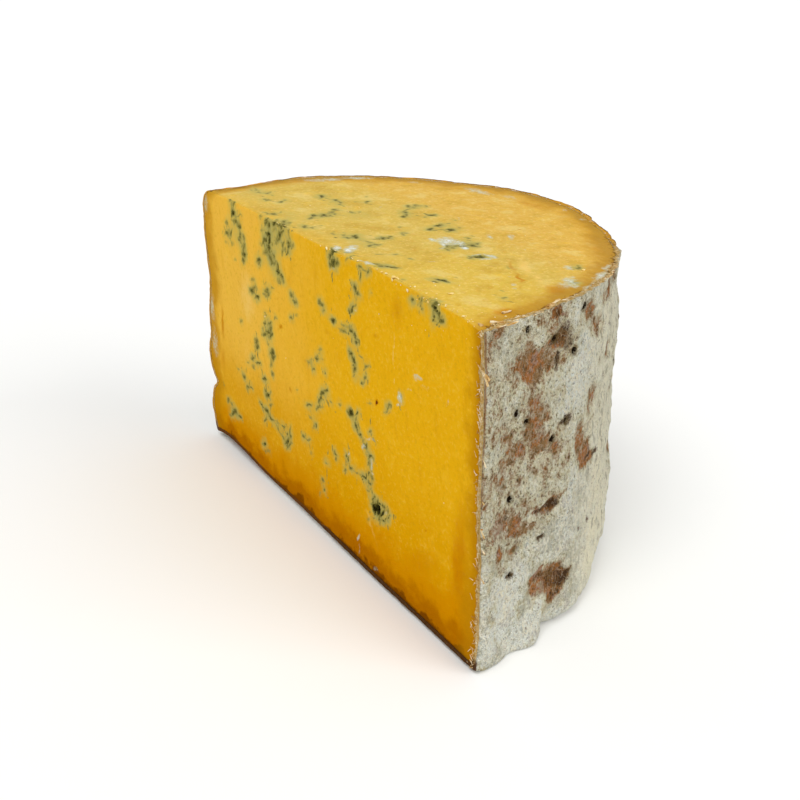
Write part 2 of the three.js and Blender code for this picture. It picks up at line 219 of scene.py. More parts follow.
    (20.6, 40.1, 0.8, 0.5, 10, 1), (21.8, 39.2, 0.9, 0.4, 50, 0.7), (24, 36.6, 1.4, 0.6, 20, 0.85),
    (28.3, 36.3, 1.3, 0.4, 35, 0.6), (19.2, 34.1, 1.3, 0.5, 15, 0.6), (5.5, 30.9, 1.7, 0.4, 5, 0.7),
    (2.2, 22, 1.3, 0.8, 15, 0.6), (2.3, 18.9, 1.2, 0.6, 5, 0.7), (-1, 16, 1.5, 0.9, 60, 0.35),
    (42, 28.8, 1.7, 1.3, -60, 2.2), (43.3, 27.4, 0.9, 0.4, -20, 1), (39.2, 31.3, 1.4, 0.5, 20, 0.8),
    (43.2, 31.9, 1.1, 0.4, 15, 0.9), (46.5, 32.4, 1.2, 0.4, 30, 0.8), (46.2, 26.8, 1.2, 0.35, 15, 0.9),
    (49.4, 28.6, 0.9, 0.4, 60, 0.9), (50.2, 30.6, 0.8, 0.4, 85, 0.8), (38.7, 28.9, 1, 0.4, 15, 0.7),
    (43.3, 25.4, 1.2, 0.35, 10, 0.8), (39.5, 24.6, 1.2, 0.4, 35, 0.5), (35.5, 22, 1.8, 0.8, 20, 0.3),
    (63.6, 109.1, 1.2, 0.5, 40, 0.9), (68.8, 110.6, 1.2, 0.5, 40, 0.8), (69.5, 107.9, 0.8, 0.4, 0, 0.7),
    (73.3, 112.6, 0.9, 0.4, 20, 0.6), (76.5, 112.3, 1, 0.5, 50, 0.8), (76.3, 110.4, 1.1, 0.6, -10, 1.2),
    (78, 109.9, 1.3, 0.6, 5, 1), (80, 108, 1, 0.5, 0, 0.9), (75.9, 106.2, 0.9, 0.4, 30, 0.8),
    (57.5, 75.6, 0.9, 0.5, 80, 0.6),
)

# Veins in the level cut: (x, distance behind the straight cut, and as above)
TOP_VEINS = (
    (-80.5, 15.2, 3, 0.5, -15, 0.45), (-76, 14, 2, 0.5, -15, 0.5), (-74.5, 18, 2, 0.6, -40, 0.45),
    (-73, 15.8, 1.6, 0.7, -30, 0.6), (-69, 16.5, 1.5, 0.4, -20, 0.4), (-81, 13, 2, 0.5, -15, 0.35),
    (-57.8, 32, 2.4, 0.8, -30, 0.95), (-55.5, 31, 1.6, 0.5, -25, 0.7), (-49, 34.8, 1.8, 0.6, -30, 0.8),
    (-45.5, 33.6, 2.2, 0.6, -15, 0.75), (-42, 32.5, 1.8, 0.6, -15, 0.6), (-41, 43.5, 1.7, 0.7, -35, 0.75),
    (-39, 42, 1, 0.5, -35, 0.6), (-43, 39.5, 2, 0.5, -15, 0.35), (-48, 47, 2, 0.5, -25, 0.35),
    (-59, 17.5, 2, 0.5, -30, 0.45), (-56.7, 14.6, 1.6, 0.8, -25, 0.75), (-63.3, 11, 1.9, 0.6, -15, 0.7),
    (-42.5, 7.5, 2.4, 0.5, -30, 0.45), (-42, 4.3, 2.2, 1, -15, 0.65), (-43.5, 2.6, 2, 0.5, 0, 0.6),
    (-36.5, 27, 1.5, 1.1, -30, 0.65), (-33, 24, 3, 1.3, -35, 0.45), (-30.3, 24, 1.6, 0.4, -30, 0.7),
    (-31.5, 20, 1.9, 0.8, -10, 0.95), (-30, 18.3, 1.8, 1.1, -40, 0.7), (-32.7, 16.3, 1.7, 0.7, -40, 0.85),
    (-29.5, 13.5, 2.6, 0.9, -35, 0.6), (-29.5, 30.5, 2.6, 0.9, 0, 0.45), (-28, 33, 2.5, 0.8, -50, 0.3),
    (-24, 59, 1.8, 0.5, -25, 0.6), (-26.5, 56.5, 2.4, 1.5, -10, 0.5), (-27, 53.2, 2.6, 0.6, -20, 0.65),
    (-24, 54, 1.6, 0.7, -60, 0.55), (-22, 49.5, 3, 0.8, -45, 0.5), (-19.5, 47.3, 2, 0.9, -40, 0.65),
    (-16, 46.2, 2, 0.5, -20, 0.7), (-14.3, 44.2, 2.2, 0.6, -40, 0.75), (-11.2, 53.8, 1.5, 1.1, -25, 0.9),
    (-10, 50.5, 1.2, 0.8, -60, 0.4), (0, 56.8, 1.4, 0.4, -35, 0.5), (2, 52.5, 1.2, 0.9, -60, 0.4),
    (3, 47.8, 2, 0.9, -65, 0.95), (5.5, 42.8, 1.8, 0.8, -35, 0.85), (10.2, 48.6, 1.7, 1.2, 0, 1.1),
    (8.5, 53, 1.6, 0.7, -15, 0.35), (-2, 34.5, 1.6, 1.1, 0, 0.35), (6.5, 31.2, 2.2, 0.6, -30, 0.65),
    (7.8, 22.5, 1.8, 0.7, -30, 1.1), (8.7, 24.2, 1.3, 0.5, -30, 0.9), (13.6, 16.4, 1.1, 0.8, 20, 0.75),
    (13.7, 13.8, 1.3, 0.7, -20, 0.75), (8.5, 15.8, 1.6, 0.5, -15, 0.45), (0.2, 15.8, 1.8, 0.8, -40, 0.85),
    (2, 14.5, 1.7, 0.7, -10, 0.9), (1.2, 11.8, 1.3, 0.5, -15, 0.85), (-2.5, 12.8, 1.6, 0.5, -40, 0.5),
    (-6, 10.5, 2.5, 0.7, -25, 0.4), (-19.5, 6, 1.8, 0.6, -25, 0.85), (-17, 8, 1.6, 0.5, -30, 0.6),
    (-29.5, 2.8, 2.2, 0.6, -20, 0.9), (-33, 1.6, 2, 0.5, -25, 0.6), (-27, 3.6, 3, 0.9, -20, 0.45),
    (-25, 0.8, 2.5, 0.5, -15, 0.9), (22.7, 47.8, 1, 0.8, 0, 0.6), (29, 46.5, 1.5, 0.5, -40, 0.7),
    (30.3, 43.8, 1.9, 0.7, -35, 1), (31.6, 44, 0.9, 0.4, -15, 0.8), (26.3, 42.9, 1, 0.4, -30, 0.55),
    (28.8, 40.2, 1.3, 0.7, 10, 1.1), (28.3, 38.3, 1.3, 0.6, -35, 0.9), (22.5, 38, 2.4, 0.4, -35, 0.5),
    (27, 35.5, 2, 0.6, -20, 0.85), (31, 33.8, 1.5, 0.5, 0, 0.6), (30, 36.3, 1, 0.4, -20, 0.7),
    (43.3, 38.7, 1.6, 0.8, -20, 1), (43.2, 37, 1.2, 0.8, 50, 0.95), (42.2, 35.5, 0.9, 0.5, -30, 0.7),
    (44.5, 41.5, 1.3, 0.6, 0, 0.6), (58, 13.2, 1.9, 0.8, 25, 1.1), (60.5, 14.1, 1.6, 0.6, 20, 0.9),
    (39.5, 7.6, 1.6, 0.6, 5, 0.95), (37.2, 6.9, 1.4, 0.5, 20, 0.9), (35.8, 5.6, 1.4, 0.5, 0, 0.8),
    (33.5, 4.8, 1.6, 0.7, 15, 0.6), (51.5, 4.3, 1.6, 0.5, 25, 0.5), (11.5, 1, 2.4, 0.4, -15, 1),
    (17, 3.6, 1.6, 0.4, -20, 0.6), (22.8, 1.5, 2, 0.4, -30, 0.6), (24.2, 11.3, 1, 0.8, 50, 0.4),
    (27.3, 15.8, 1, 0.4, -40, 0.45), (34, 17.8, 1.6, 0.7, 10, 0.4), (68.5, 58.5, 1.7, 0.5, -30, 0.9),
    (81.5, 47, 1.1, 0.6, -40, 0.75), (79, 47.8, 1.2, 0.5, -40, 0.55), (82.7, 20, 0.9, 0.5, -30, 0.65),
    (76.5, 23.3, 0.9, 0.5, 0, 0.35), (57.5, 39.8, 2, 0.5, -35, 0.4), (75, 1.2, 1.2, 0.5, -30, 0.9),
)

# Waves that bend the outlines of marks and of patches: (length, push across, push up, where the wave
# across starts, where the wave up starts)
MARK_BENDS = ((2.1, 0.7, 0.7, (31, 0), (0, 53)), (1.1, 0.35, 0.35, (0, 17), (71, 0)))
PATCH_BENDS = ((3.3, 1.3, 1.1, (11, 0), (0, 23)), (1.4, 0.6, 0.6, (0, 5), (19, 0)))

# Depth of the pits along veins and creases, and height of the puffs of white mould
VEIN_PIT = 0.6
CREASE_PIT = 0.2
BLOOM_PUFF = 0.35

# Cracks between the veins, small streaks beside them, and how far the green halo spreads
FRONT_GRAIN = 108
TOP_GRAIN = 40
ACROSS_GRAIN = 1.8
BRANCH_REACH = 9.5
BRANCH_SHARE = 0.55
CRACK_WIDTH = 0.35
STREAKS_BESIDE = 2.6
STREAKS_ASIDE = 1.9
STREAK_LENGTHS = (0.6, 2.0)
STREAK_WIDTH = 0.32
STREAK_LEAN = 28
HALO_SPREAD = 2.0

# Fluffy white mould in open veins, as above with its thickness of cover in place of darkness
FRONT_BLOOM = (
    (67.5, 85.8, 3, 0.8, 12, 0.6), (56.5, 74.8, 1.9, 1.6, 70, 0.75), (56, 72.3, 1.6, 0.5, 20, 0.6),
    (83.5, 83, 1.5, 0.8, 70, 0.35), (62, 80, 2.2, 0.4, 5, 0.35), (72, 84, 3.5, 1.2, 5, 0.25),
    (37.5, 53, 4, 0.7, 15, 0.5), (33, 48.6, 1.8, 1.2, 20, 0.6), (38.3, 44, 2.2, 0.9, 80, 0.65),
    (38.6, 41.2, 1.2, 0.6, 0, 0.6), (22.5, 41.4, 1.3, 0.5, 30, 0.6), (28, 95.7, 1, 0.3, 25, 0.5),
    (28.6, 11, 1.7, 0.6, 70, 0.8), (29.4, 6.5, 3.6, 0.5, 85, 0.4), (46.8, 29.6, 1.6, 0.7, 20, 0.7),
    (41, 4.6, 2.2, 1, 10, 0.35), (12.5, 105.8, 2.5, 0.6, 10, 0.35), (54, 88, 3, 0.5, 85, 0.25),
    (-98, 61, 3.6, 8, 0, 0.42), (-97, 45, 3.6, 7, 0, 0.42), (-98, 105, 3, 5, 0, 0.35),
)
TOP_BLOOM = (
    (21.5, 39.5, 5, 3.2, -20, 0.9), (26, 41.5, 3.6, 1.8, -20, 0.8), (31.8, 39.8, 1.8, 1.2, -20, 0.95),
    (18, 36, 2.6, 1, -30, 0.8), (25, 35.4, 2.6, 0.8, -30, 0.8), (29, 33, 1.8, 0.7, -30, 0.7),
    (44.8, 41.6, 2.6, 1.2, 0, 0.9), (46.6, 38.4, 0.9, 2, 0, 0.8), (41, 38.6, 0.7, 2, 0, 0.6),
    (13, 7.5, 3.5, 1.5, -30, 0.9), (14.5, 5.2, 3.5, 1.4, -20, 0.95), (10.5, 3, 3, 0.9, -20, 0.8),
    (31.5, 3.4, 2.5, 0.7, 10, 0.75), (28, 2.4, 2, 0.5, 10, 0.6), (24, 55, 2.6, 1.2, -30, 0.6),
    (28.5, 61, 3.6, 1, -30, 0.6), (67.5, 55.5, 2.6, 1.4, -20, 0.6), (79, 47.2, 3.4, 2, -20, 0.7),
    (83, 45.8, 3, 1.4, -20, 0.6), (86.5, 48.5, 2.2, 1.1, -40, 0.6), (76.5, 50, 2, 0.8, -20, 0.6),
    (43.7, 56.3, 1.2, 0.4, -30, 0.4), (60, 54, 1.5, 0.6, -30, 0.35), (66, 34, 1.4, 0.6, -20, 0.45),
    (73, 30.2, 1.4, 0.6, -10, 0.5), (77, 28.4, 1.6, 0.5, -40, 0.6), (58.5, 10.3, 2.5, 0.5, 5, 0.4),
    (40, 22, 1.8, 0.6, 60, 0.45), (-31, 44, 2.4, 0.8, -30, 0.35), (-2, 60, 3, 0.8, -40, 0.35),
    (-34, 90, 9, 3, 5, 0.45), (-20, 95, 5, 2, 0, 0.35), (-82, 50, 5, 3, 50, 0.5), (-60, 76, 4, 2, 40, 0.35),
    (8, 101, 2.5, 1.2, 0, 0.35), (22, 98, 2.5, 1, -10, 0.3), (-79, 60, 7, 2, 55, 0.6),
    (-84, 44, 8, 4, 60, 0.4), (80, 58.5, 7, 1.6, -55, 0.7), (74, 66, 6, 1.2, -50, 0.5),
    (86, 50, 5, 1.5, -60, 0.6), (81, 44, 5, 3, -50, 0.4),
)

# Patches of deeper orange in the paste, as above
FRONT_DEEP = (
    (-87, 57, 9, 1.6, 88, 0.75), (-89, 40, 9, 3, 88, 0.5), (-30.3, 72.6, 2.4, 0.7, 0, 0.8),
    (-31.5, 82.5, 2, 0.9, 30, 0.5), (42, 90.8, 2.6, 0.8, -5, 0.6), (55, 103, 7, 5, 80, 0.5),
    (8, 82, 4, 1.5, 15, 0.4), (-8, 62, 12, 2.2, 88, 0.4), (15, 75, 5, 4, 20, 0.3),
    (-23.8, 49.2, 1.5, 0.6, 0, 0.7), (-10, 64.8, 2.2, 1, 0, 0.5), (7.3, 74.3, 1, 0.5, 25, 0.7),
    (-47.2, 90.4, 1.7, 0.5, 12, 0.8), (46.8, 11.5, 1.4, 0.4, 55, 1), (73.2, 35.8, 0.9, 0.4, 20, 0.9),
    (42.2, 68.2, 1.4, 0.6, 25, 1.4), (92, 30, 26, 5, 88, 0.8), (70, 22, 16, 6, 30, 0.5),
    (78, 11, 24, 7, 3, 0.8), (-20, 95, 10, 3, 70, 0.35), (0, 100, 8, 3, 80, 0.35),
)
TOP_DEEP = (
    (-87, 37, 5, 4, 0, 0.5), (-68, 62, 6, 3, -20, 0.4), (-5, 95, 14, 4, 0, 0.5),
    (84, 38, 6, 3.6, -30, 0.85), (93, 13, 4, 4, -30, 0.85), (97, 6, 3, 2, -50, 0.6),
    (55, 77, 5, 2.6, -30, 0.5), (57, 41.2, 7, 0.7, -28, 0.75), (69, 35.6, 6.5, 0.7, -22, 0.8),
    (76, 31, 3.5, 0.5, -38, 0.7), (40.5, 22, 3.4, 0.5, 60, 0.6), (-10, 46, 6, 1.5, -50, 0.3),
    (97, 22, 4, 1.6, -70, 0.6),
)
# Patches of paler, greener curd, as above; the three broad ones high on the left of the straight cut are
# partly painted light, that end lit brighter
FRONT_PALE = (
    (-60, 76, 12, 9, 80, 0.8), (-62, 50, 9, 7, 80, 0.45), (-80, 85, 8, 4, 80, 0.35),
    (38, 20, 9, 1.2, -55, 0.7), (28, 8, 4, 1.2, 80, 0.6), (53, 88, 18, 0.35, 90, 0.9),
    (14, 20, 10, 5, -30, 0.2), (-45, 25, 9, 4, -20, 0.2),
)
TOP_PALE = (
    (60, 44, 12, 2.2, -28, 0.8), (72, 40, 7, 1.8, -25, 0.7), (48, 60, 14, 3, -30, 0.5),
    (80, 24, 7, 2, -40, 0.4), (30, 68, 12, 3, -30, 0.4), (45, 28, 3, 1, 60, 0.6), (0, 40, 16, 3, -30, 0.3),
    (70, 20, 8, 2, -20, 0.3), (-20, 70, 14, 4, -30, 0.35), (15, 85, 12, 3, 0, 0.35),
    (84, 8, 5, 1.5, -10, 0.5), (66, 6, 8, 1.2, 5, 0.4),
)
# Curd stained green by the veins near it, as above
FRONT_STAIN = (
    (-68, 102, 9, 5, 105, 0.6), (-36, 100, 12, 8, 105, 0.9), (-28, 107, 6, 6, 0, 0.6),
    (-62, 96, 5, 4, 80, 0.5), (-42, 66, 6, 4, 70, 0.35), (26, 55, 5, 3, 0, 0.3), (13, 109, 3, 3, 0, 0.4),
    (-80, 19, 6, 3, 20, 0.3),
)
TOP_STAIN = (
    (-78, 14, 10, 4, -20, 0.7), (-60, 18, 12, 3, -25, 0.35), (-50, 33, 14, 3, -25, 0.5),
    (5, 14, 10, 5, -30, 0.7), (-24, 30, 8, 7, -40, 0.65), (-36, 8, 9, 4, -20, 0.7),
    (-24, 53, 7, 6, -40, 0.6), (25, 44, 9, 4, -30, 0.45), (4, 50, 9, 5, -40, 0.45), (-30, 20, 7, 7, 0, 0.6),
    (-20, 6, 10, 3, -20, 0.55), (30, 32, 8, 3, -20, 0.3),
)

# Places where the mould is thin and the brown rind shows: (degrees round, height, half width,
# half height, strength). Those of the second list are darker, and those of the third thickly white.
BARE_PLACES = (
    (12.5, 64, 5, 6, 0.6), (17, 62, 5, 5, 0.5), (28, 66, 4, 5, 0.6), (12.5, 107.5, 4, 3, 0.65),
    (32, 107, 3, 3, 0.6), (9.5, 97, 6.5, 5.5, 1), (12.5, 100, 3.5, 4, 0.9), (15, 102, 4.5, 3.5, 0.8),
    (12, 95, 4, 4, 0.8), (14.3, 109.7, 2, 2, 1.2), (25, 106, 3.5, 3.5, 1), (27.5, 100, 4.5, 4, 0.95),
    (30, 97, 2.5, 3, 0.7), (35, 109, 4, 4, 0.9), (38, 111, 3, 3, 0.8), (34.5, 89, 2.6, 3.4, 0.95),
    (39, 84.5, 3, 3.5, 0.7), (17, 84.5, 2, 1.5, 0.6), (8.5, 85.5, 3, 3, 0.5), (11, 79, 5.5, 5, 0.6),
    (3, 77, 4.5, 4.5, 0.6), (4, 70, 5, 5, 0.55), (6.5, 72, 2.5, 2.5, 0.7), (11.5, 70, 3.4, 4.5, 0.85),
    (16.5, 66, 4, 4, 0.75), (24, 65, 3.5, 5, 0.9), (26.5, 59, 4.5, 6, 1.1), (29, 55, 3.5, 3, 1),
    (28, 77, 3, 6, 0.7), (3, 49, 6, 5, 0.6), (5.5, 46, 3, 3.5, 0.75), (8.5, 43, 2.6, 2.4, 0.7),
    (1.5, 39, 2.5, 3, 0.5), (5.5, 37, 2, 2, 0.7), (10.5, 43, 1.8, 1.4, 0.9), (2.5, 60, 4, 5, 0.5),
    (9.5, 62, 3, 4, 0.55), (30, 90, 2.5, 6, 0.5), (32, 70, 2.5, 8, 0.4), (19, 60, 3, 3, 0.5),
    (3, 32, 2.5, 2, 0.5), (13.6, 23.6, 5.5, 2.6, 0.85), (12.6, 19, 3.6, 3.6, 0.65),
    (17.2, 20.6, 5.5, 3.4, 0.95), (20.4, 17.2, 5, 3, 1.05), (18, 17, 6, 4.5, 1.1),
    (18.4, 13.3, 4.4, 2.4, 1), (22.4, 17.4, 2.6, 1.8, 1.05), (15.8, 46.8, 4.4, 2.3, 1.1),
    (12.4, 46.3, 2.8, 1.1, 0.95), (18.7, 49.3, 2, 0.8, 0.75), (0, 88, 3, 6, 0.4),
)
DARK_PLACES = (
    (15.8, 46.7, 3.8, 1.8, 1), (17.3, 46.2, 2, 1.5, 0.9), (12.6, 46.2, 2.2, 0.7, 0.8),
    (20.8, 16.9, 4.2, 2.4, 0.9), (18.4, 12.9, 3.4, 1.5, 0.7), (14.4, 22.6, 4, 1.2, 0.75),
    (22.6, 17.5, 2, 1.4, 0.85), (17.5, 18.5, 5, 4, 0.6), (16, 103, 5, 4, 0.55), (14, 102.5, 2.2, 2.6, 0.7),
    (17.5, 99.5, 2, 2, 0.6), (19, 74, 2.4, 1.2, 0.8), (17, 75, 1.6, 1, 0.8), (35, 110, 2.5, 1.6, 0.6),
    (14.3, 109.7, 1.6, 1.5, 0.7), (14.6, 94.6, 0.7, 3, 0.85), (26.4, 31.5, 0.9, 0.9, 0.8),
    (29.6, 31.5, 0.7, 1.2, 0.7), (14.6, 68, 0.7, 3, 0.5), (12.6, 37, 1.2, 0.9, 0.8), (4, 50, 1.6, 1.3, 0.5),
    (6.5, 38, 2.2, 2.6, 0.4), (28.2, 56, 2, 1.3, 0.8), (31.5, 55.5, 1.8, 1.2, 0.7),
    (5.4, 29, 1.6, 0.7, 0.8), (33.5, 90, 1.2, 1.6, 0.6), (7, 42.5, 2.2, 1.3, 0.5),
)
WHITE_PLACES = (
    (3, 106, 6, 5, 0.8), (15, 86, 7, 7, 0.8), (22, 90, 4, 9, 0.6), (6, 22, 8, 12, 0.6), (18, 34, 9, 6, 0.9),
    (32, 42, 9, 10, 0.7), (31, 84, 3, 14, 0.6), (18.5, 108, 4, 3.5, 0.6), (24, 38, 8, 8, 0.6),
    (30, 14, 12, 10, 0.9), (7, 6, 12, 7, 0.8), (9, 55, 5, 3, 0.5), (22, 50, 5, 5, 0.7),
    (34, 60, 3, 12, 0.5), (33, 100, 2, 8, 0.6), (15.5, 56, 6, 4, 0.5), (16, 78, 5, 5, 0.9),
    (20, 3, 12, 4, 0.7), (36, 25, 10, 14, 0.7),
)
# Hidden patches: how many, and the least and most of each number of a place
HIDDEN_PATCHES = 130
HIDDEN_PATCH_LIMITS = ((42, 179), (6, 110), (2, 7), (1.5, 6), (0.4, 1))
# Mould that is thin all over the upper near side: how bare, from which height and up to which degree
NEAR_THIN = 0.34
NEAR_THIN_HEIGHTS = (36, 56)
NEAR_THIN_DEGREES = (13, 26)

# Torn bits: kinds of shred (curl, taper), shreds along the near edge of the straight cut and round the
# rim (from one angle to another, how many, and the longest), then single flaps (x, height, length,
# width, tilt) and curled chips on top (x, distance behind the cut, length, width, tilt)
SHRED_KINDS = ((0.25, 0.8), (0.6, 0.7), (0.1, 0.9), (-0.1, 0.6))
SHREDS_NEAR_EDGE = 300
SHRED_LENGTHS = (0.5, 2.2)
SHRED_WIDTHS = (0.13, 0.3)
SHRED_INSET = 0.5
SHRED_STRAY = 1.3
SHRED_TURN = (90, 35)
RIM_SHRED_SHORTEST = 0.4
RIM_SHRED_WIDTHS = (0.15, 0.36)
RIM_SHRED_INSET = 0.3
RIM_SHRED_STRAY = 0.9
RIM_SHRED_TURN = (90, 22)
BIT_LIFT = 0.2
RIM_SHREDS = ((-2, 48, 230, 1.8), (48, 110, 45, 0.8))
FLAPS = (
    (101.5, 99, 6, 0.9, 150), (101, 97, 4, 0.7, 125), (101, 44, 4.5, 0.5, 165), (101, 49, 3, 0.5, 130),
    (100.5, 51.5, 3, 0.4, 200), (101, 34, 2.5, 0.4, 150), (101, 72, 2.5, 0.4, 120), (101, 60, 3, 0.4, 160),
)
CHIPS = (
    (98.6, 3.5, 9, 1.3, 92), (98.4, 8.5, 6, 1, 97), (95.5, 26.5, 7, 1.7, 112), (97.4, 19, 4, 1.1, 100),
    (95.5, 5, 4, 1.2, 50), (93, 12, 3, 0.9, 80), (98, 13, 4.5, 1.2, 96), (94, 33, 5, 1.3, 108),
    (96, 1.5, 4, 1, 170),
)
# Crumbs: along the edge from one x to another, how far from it, and how many, then their size and form
CRUMB_BANDS = ((52, 98, 1.4, 45), (-30, 52, 0.8, 25), (60, 98, 14, 25), (-60, 95, 70, 20))
SMALLEST_CRUMB = 0.25
CRUMB_SPREAD = 0.22
CRUMB_FLATNESS = (0.6, 0.9)
CRUMB_SHAPE = (1.4, 1, 0.7)
CRUMBS_ON_TOP = 0.6

# The photograph's camera: place in mm from the ground under the piece, and its aim in degrees
CAMERA_PLACE = (350.4, -227.9, 220.2)
CAMERA_HEADING = 59.19
CAMERA_DOWN = 23.04
CAMERA_ROLL = 0.16
FOCAL_LENGTH = 53.39
SENSOR_WIDTH = 36.0

# A white room with its floor, and two soft boxes, as (name, strength, degrees across, where it stands)
FLOOR_RADIUS = 6000.0
ROOM_LIGHT = 0.6
SOFT_BOXES = (
    ("soft_box_above", 1.25, 35, (0.28, -0.42, 0.86)),
    ("soft_box_beside", 1.5, 45, (0.8, 0.45, 0.4)),
)


def bell(t):
    return np.exp(-t * t)


def smooth(t, start, end):
    t = np.clip((t - start) / (end - start), 0, 1)
    return t * t * (3 - 2 * t)


def corner_value(i, j):
    """A fixed value from -1 to 1 for each corner of a square lattice."""
    s = np.sin(i * 127.1 + j * 311.7) * 43758.5453
    return 2 * (s - np.floor(s)) - 1


def wave(u, v):
    """Smooth uneven waves with one swell for each unit of u and v."""
    i = np.floor(u)
    j = np.floor(v)
    across = smooth(u - i, 0, 1)
    up = smooth(v - j, 0, 1)
    low = corner_value(i, j) * (1 - across) + corner_value(i + 1, j) * across
    high = corner_value(i, j + 1) * (1 - across) + corner_value(i + 1, j + 1) * across
    return low * (1 - up) + high * up


def ripple(u):
    """Waves along one direction only."""
    return wave(u, np.zeros_like(u))


def ragged(place, mean, swells):
    """How far an uneven edge reaches at each place along it."""
    reach = np.full_like(place, mean)
    for length, start, height in swells:
        reach += height * ripple(place / length + start)
    return reach


def bent(across, up, bends):
    """Places pushed about by waves, so that what is laid on them gets uneven outlines."""
    new_across, new_up = across, up
    for length, push_across, push_up, start_across, start_up in bends:
        u, v = across / length, up / length
        new_across = new_across + push_across * wave(u + start_across[0], v + start_across[1])
        new_up = new_up + push_up * wave(u + start_up[0], v + start_up[1])
    return new_across, new_up


def between(t, start, full, fading, end):
    """1 inside a stretch, and smoothly down to 0 outside it."""
    return smooth(t, start, full) * (1 - smooth(t, fading, end))


def degrees_round(x, y):
    angle = np.degrees(np.arctan2(y, x))
    return np.where(angle < -90, angle + 360, angle)


def rounded_inset(radius, distance):
    left = radius - np.clip(distance, 0, radius)
    return radius - np.sqrt(np.maximum(radius**2 - left**2, 0))


def rind_relief(angle, z):
    """How far the rind stands out from the plain drum."""
    along = np.radians(angle) * DRUM_RADIUS
    waviness = NEAR_WAVINESS + (1 - NEAR_WAVINESS) * between(angle, *BACK_STRETCH)
    rise = np.zeros_like(z)
    for length, height in RIND_WAVES:
        rise += height * waviness * wave(along / length, z / length)
    for middle, height, half_width, half_height, lift in SWELLINGS:
        aside = np.radians(angle - middle) * DRUM_RADIUS / half_width
        rise += lift * bell(aside) * bell((z - height) / half_height)
    foot_round = (
        FOOT_ROUND_NEAR_CUT
        + (FOOT_ROUND_BETWEEN - FOOT_ROUND_NEAR_CUT) * between(angle, *ROUNDED_FOOT)
        + (FOOT_ROUND - FOOT_ROUND_BETWEEN) * between(angle, *WELL_ROUNDED_FOOT)
    )
    shoulder = SHOULDER_ROUND * smooth(angle, *FAR_SHOULDER) + SHARPEST_ROUND
    return rise - rounded_inset(foot_round, z) - rounded_inset(shoulder, CUT_HEIGHT - z)


def level_cut_rise(x, behind):
    """The level cut is a little crowned along its front, and dips at both ends and on the right."""
    angle = degrees_round(x, behind - AXIS_BEHIND_CUT)
    to_rim = DRUM_RADIUS - np.hypot(x, behind - AXIS_BEHIND_CUT)
    rise = np.zeros_like(x)
    for middle, half_width, reach, height in FRONT_SWELLS:
        rise += height * bell((x - middle) / half_width) * bell(behind / reach)
    for middle, half_width, reach, height in RIM_SWELLS:
        rise += height * bell((angle - middle) / half_width) * bell(to_rim / reach)
    return rise


def settle(points):
    """Moves points of the plain cut drum to where the real, uneven piece has them."""
    x, y, z = points.T
    behind = y + AXIS_BEHIND_CUT
    radius = np.hypot(x, y)
    angle = degrees_round(x, y)
    low_z = np.clip(z, 0, CUT_HEIGHT)
    share = (radius / DRUM_RADIUS) ** 4
    scale = 1 + rind_relief(angle, low_z) * share / np.maximum(radius, 1)
    length, height = CUT_WAVE
    front_wave = height * wave(x / length + 7, z / length) * (1 - smooth(behind, 0, CUT_WAVE_REACH))
    lift = np.full_like(x, ARRIS_LIFT)
    for middle, half_width, height in ARRIS_LIFTS:
        lift += height * bell((x - middle) / half_width)
    worn = np.maximum(lift - ARRIS_SLOPE * behind, 0) * (1 - smooth(z, 0, ARRIS_REACH))
    top_rise = level_cut_rise(x, behind) * (low_z / CUT_HEIGHT) ** 4
    return np.column_stack([x * scale, y * scale + front_wave, z + worn + top_rise])


def as_seen(settled, side, plane):
    """Where the photograph's lines to settled points meet one of the plain cuts, at which the marks were
    placed. side is 1 for the straight cut and 2 for the level one."""
    eye = np.array(CAMERA_PLACE) - AXIS
    share = (eye[side] - plane) / (eye[side] - settled[:, side])
    return eye + (settled - eye) * share[:, None]


def branched(marks, seed, grain):
    """Adds the fine cracks that join neighbouring spots of mould, and small streaks beside them. Both
    run mostly along the grain, an angle in degrees."""
    draw = np.random.default_rng(seed)
    places = np.array([mark[:2] for mark in marks])
    turn = math.radians(grain)
    branches = []
    for x, z, _, _, _, strength in marks:
        gaps = places - (x, z)
        along = gaps @ (math.cos(turn), math.sin(turn))
        aside = gaps @ (-math.sin(turn), math.cos(turn))
        distances = np.hypot(along, ACROSS_GRAIN * aside)
        for near in np.argsort(distances)[1:3]:
            if distances[near] < BRANCH_REACH:
                tilt = math.degrees(math.atan2(gaps[near, 1], gaps[near, 0]))
                joined = BRANCH_SHARE * min(strength, marks[near][5])
                middle = gaps[near] / 2 + (x, z)
                branches.append((*middle, np.hypot(*gaps[near]) / 2, CRACK_WIDTH, tilt, joined))
        for _ in range(round(STREAKS_BESIDE * strength)):
            beside = draw.normal(0, STREAKS_ASIDE, 2)
            length = draw.uniform(*STREAK_LENGTHS)
            tilt = grain + draw.uniform(-STREAK_LEAN, STREAK_LEAN)
            share = draw.uniform(0.4, 0.9)
            branches.append((*(beside + (x, z)), length, STREAK_WIDTH, tilt, share * strength))
    return (*marks, *branches)


def marks_at(across, up, marks, spread=0.0, widen=0.0):
    """How strongly a list of marks covers each point. spread lengthens and widens every mark, and
    widen sets how much marks that lie close together add up."""
    bent_across, bent_up = bent(across, up, MARK_BENDS)
    clear = np.ones_like(across)
    cover = np.zeros_like(across)
    for x, z, half_length, half_width, tilt, strength in marks:
        reach = 2.2 * (half_length + spread) + 1
        close = np.flatnonzero((np.abs(across - x) < reach) & (np.abs(up - z) < reach))
        turn = math.radians(tilt)
        aside_x = bent_across[close] - x
        aside_z = bent_up[close] - z
        along = (aside_x * math.cos(turn) + aside_z * math.sin(turn)) / (half_length + spread)
        aside = (aside_z * math.cos(turn) - aside_x * math.sin(turn)) / (half_width + spread)
        here = strength * np.exp(-(along**2) - aside**2)
        cover[close] = np.maximum(cover[close], here)
        clear[close] *= 1 - np.minimum(here, 1) * widen
    return np.maximum(cover, 1 - clear)


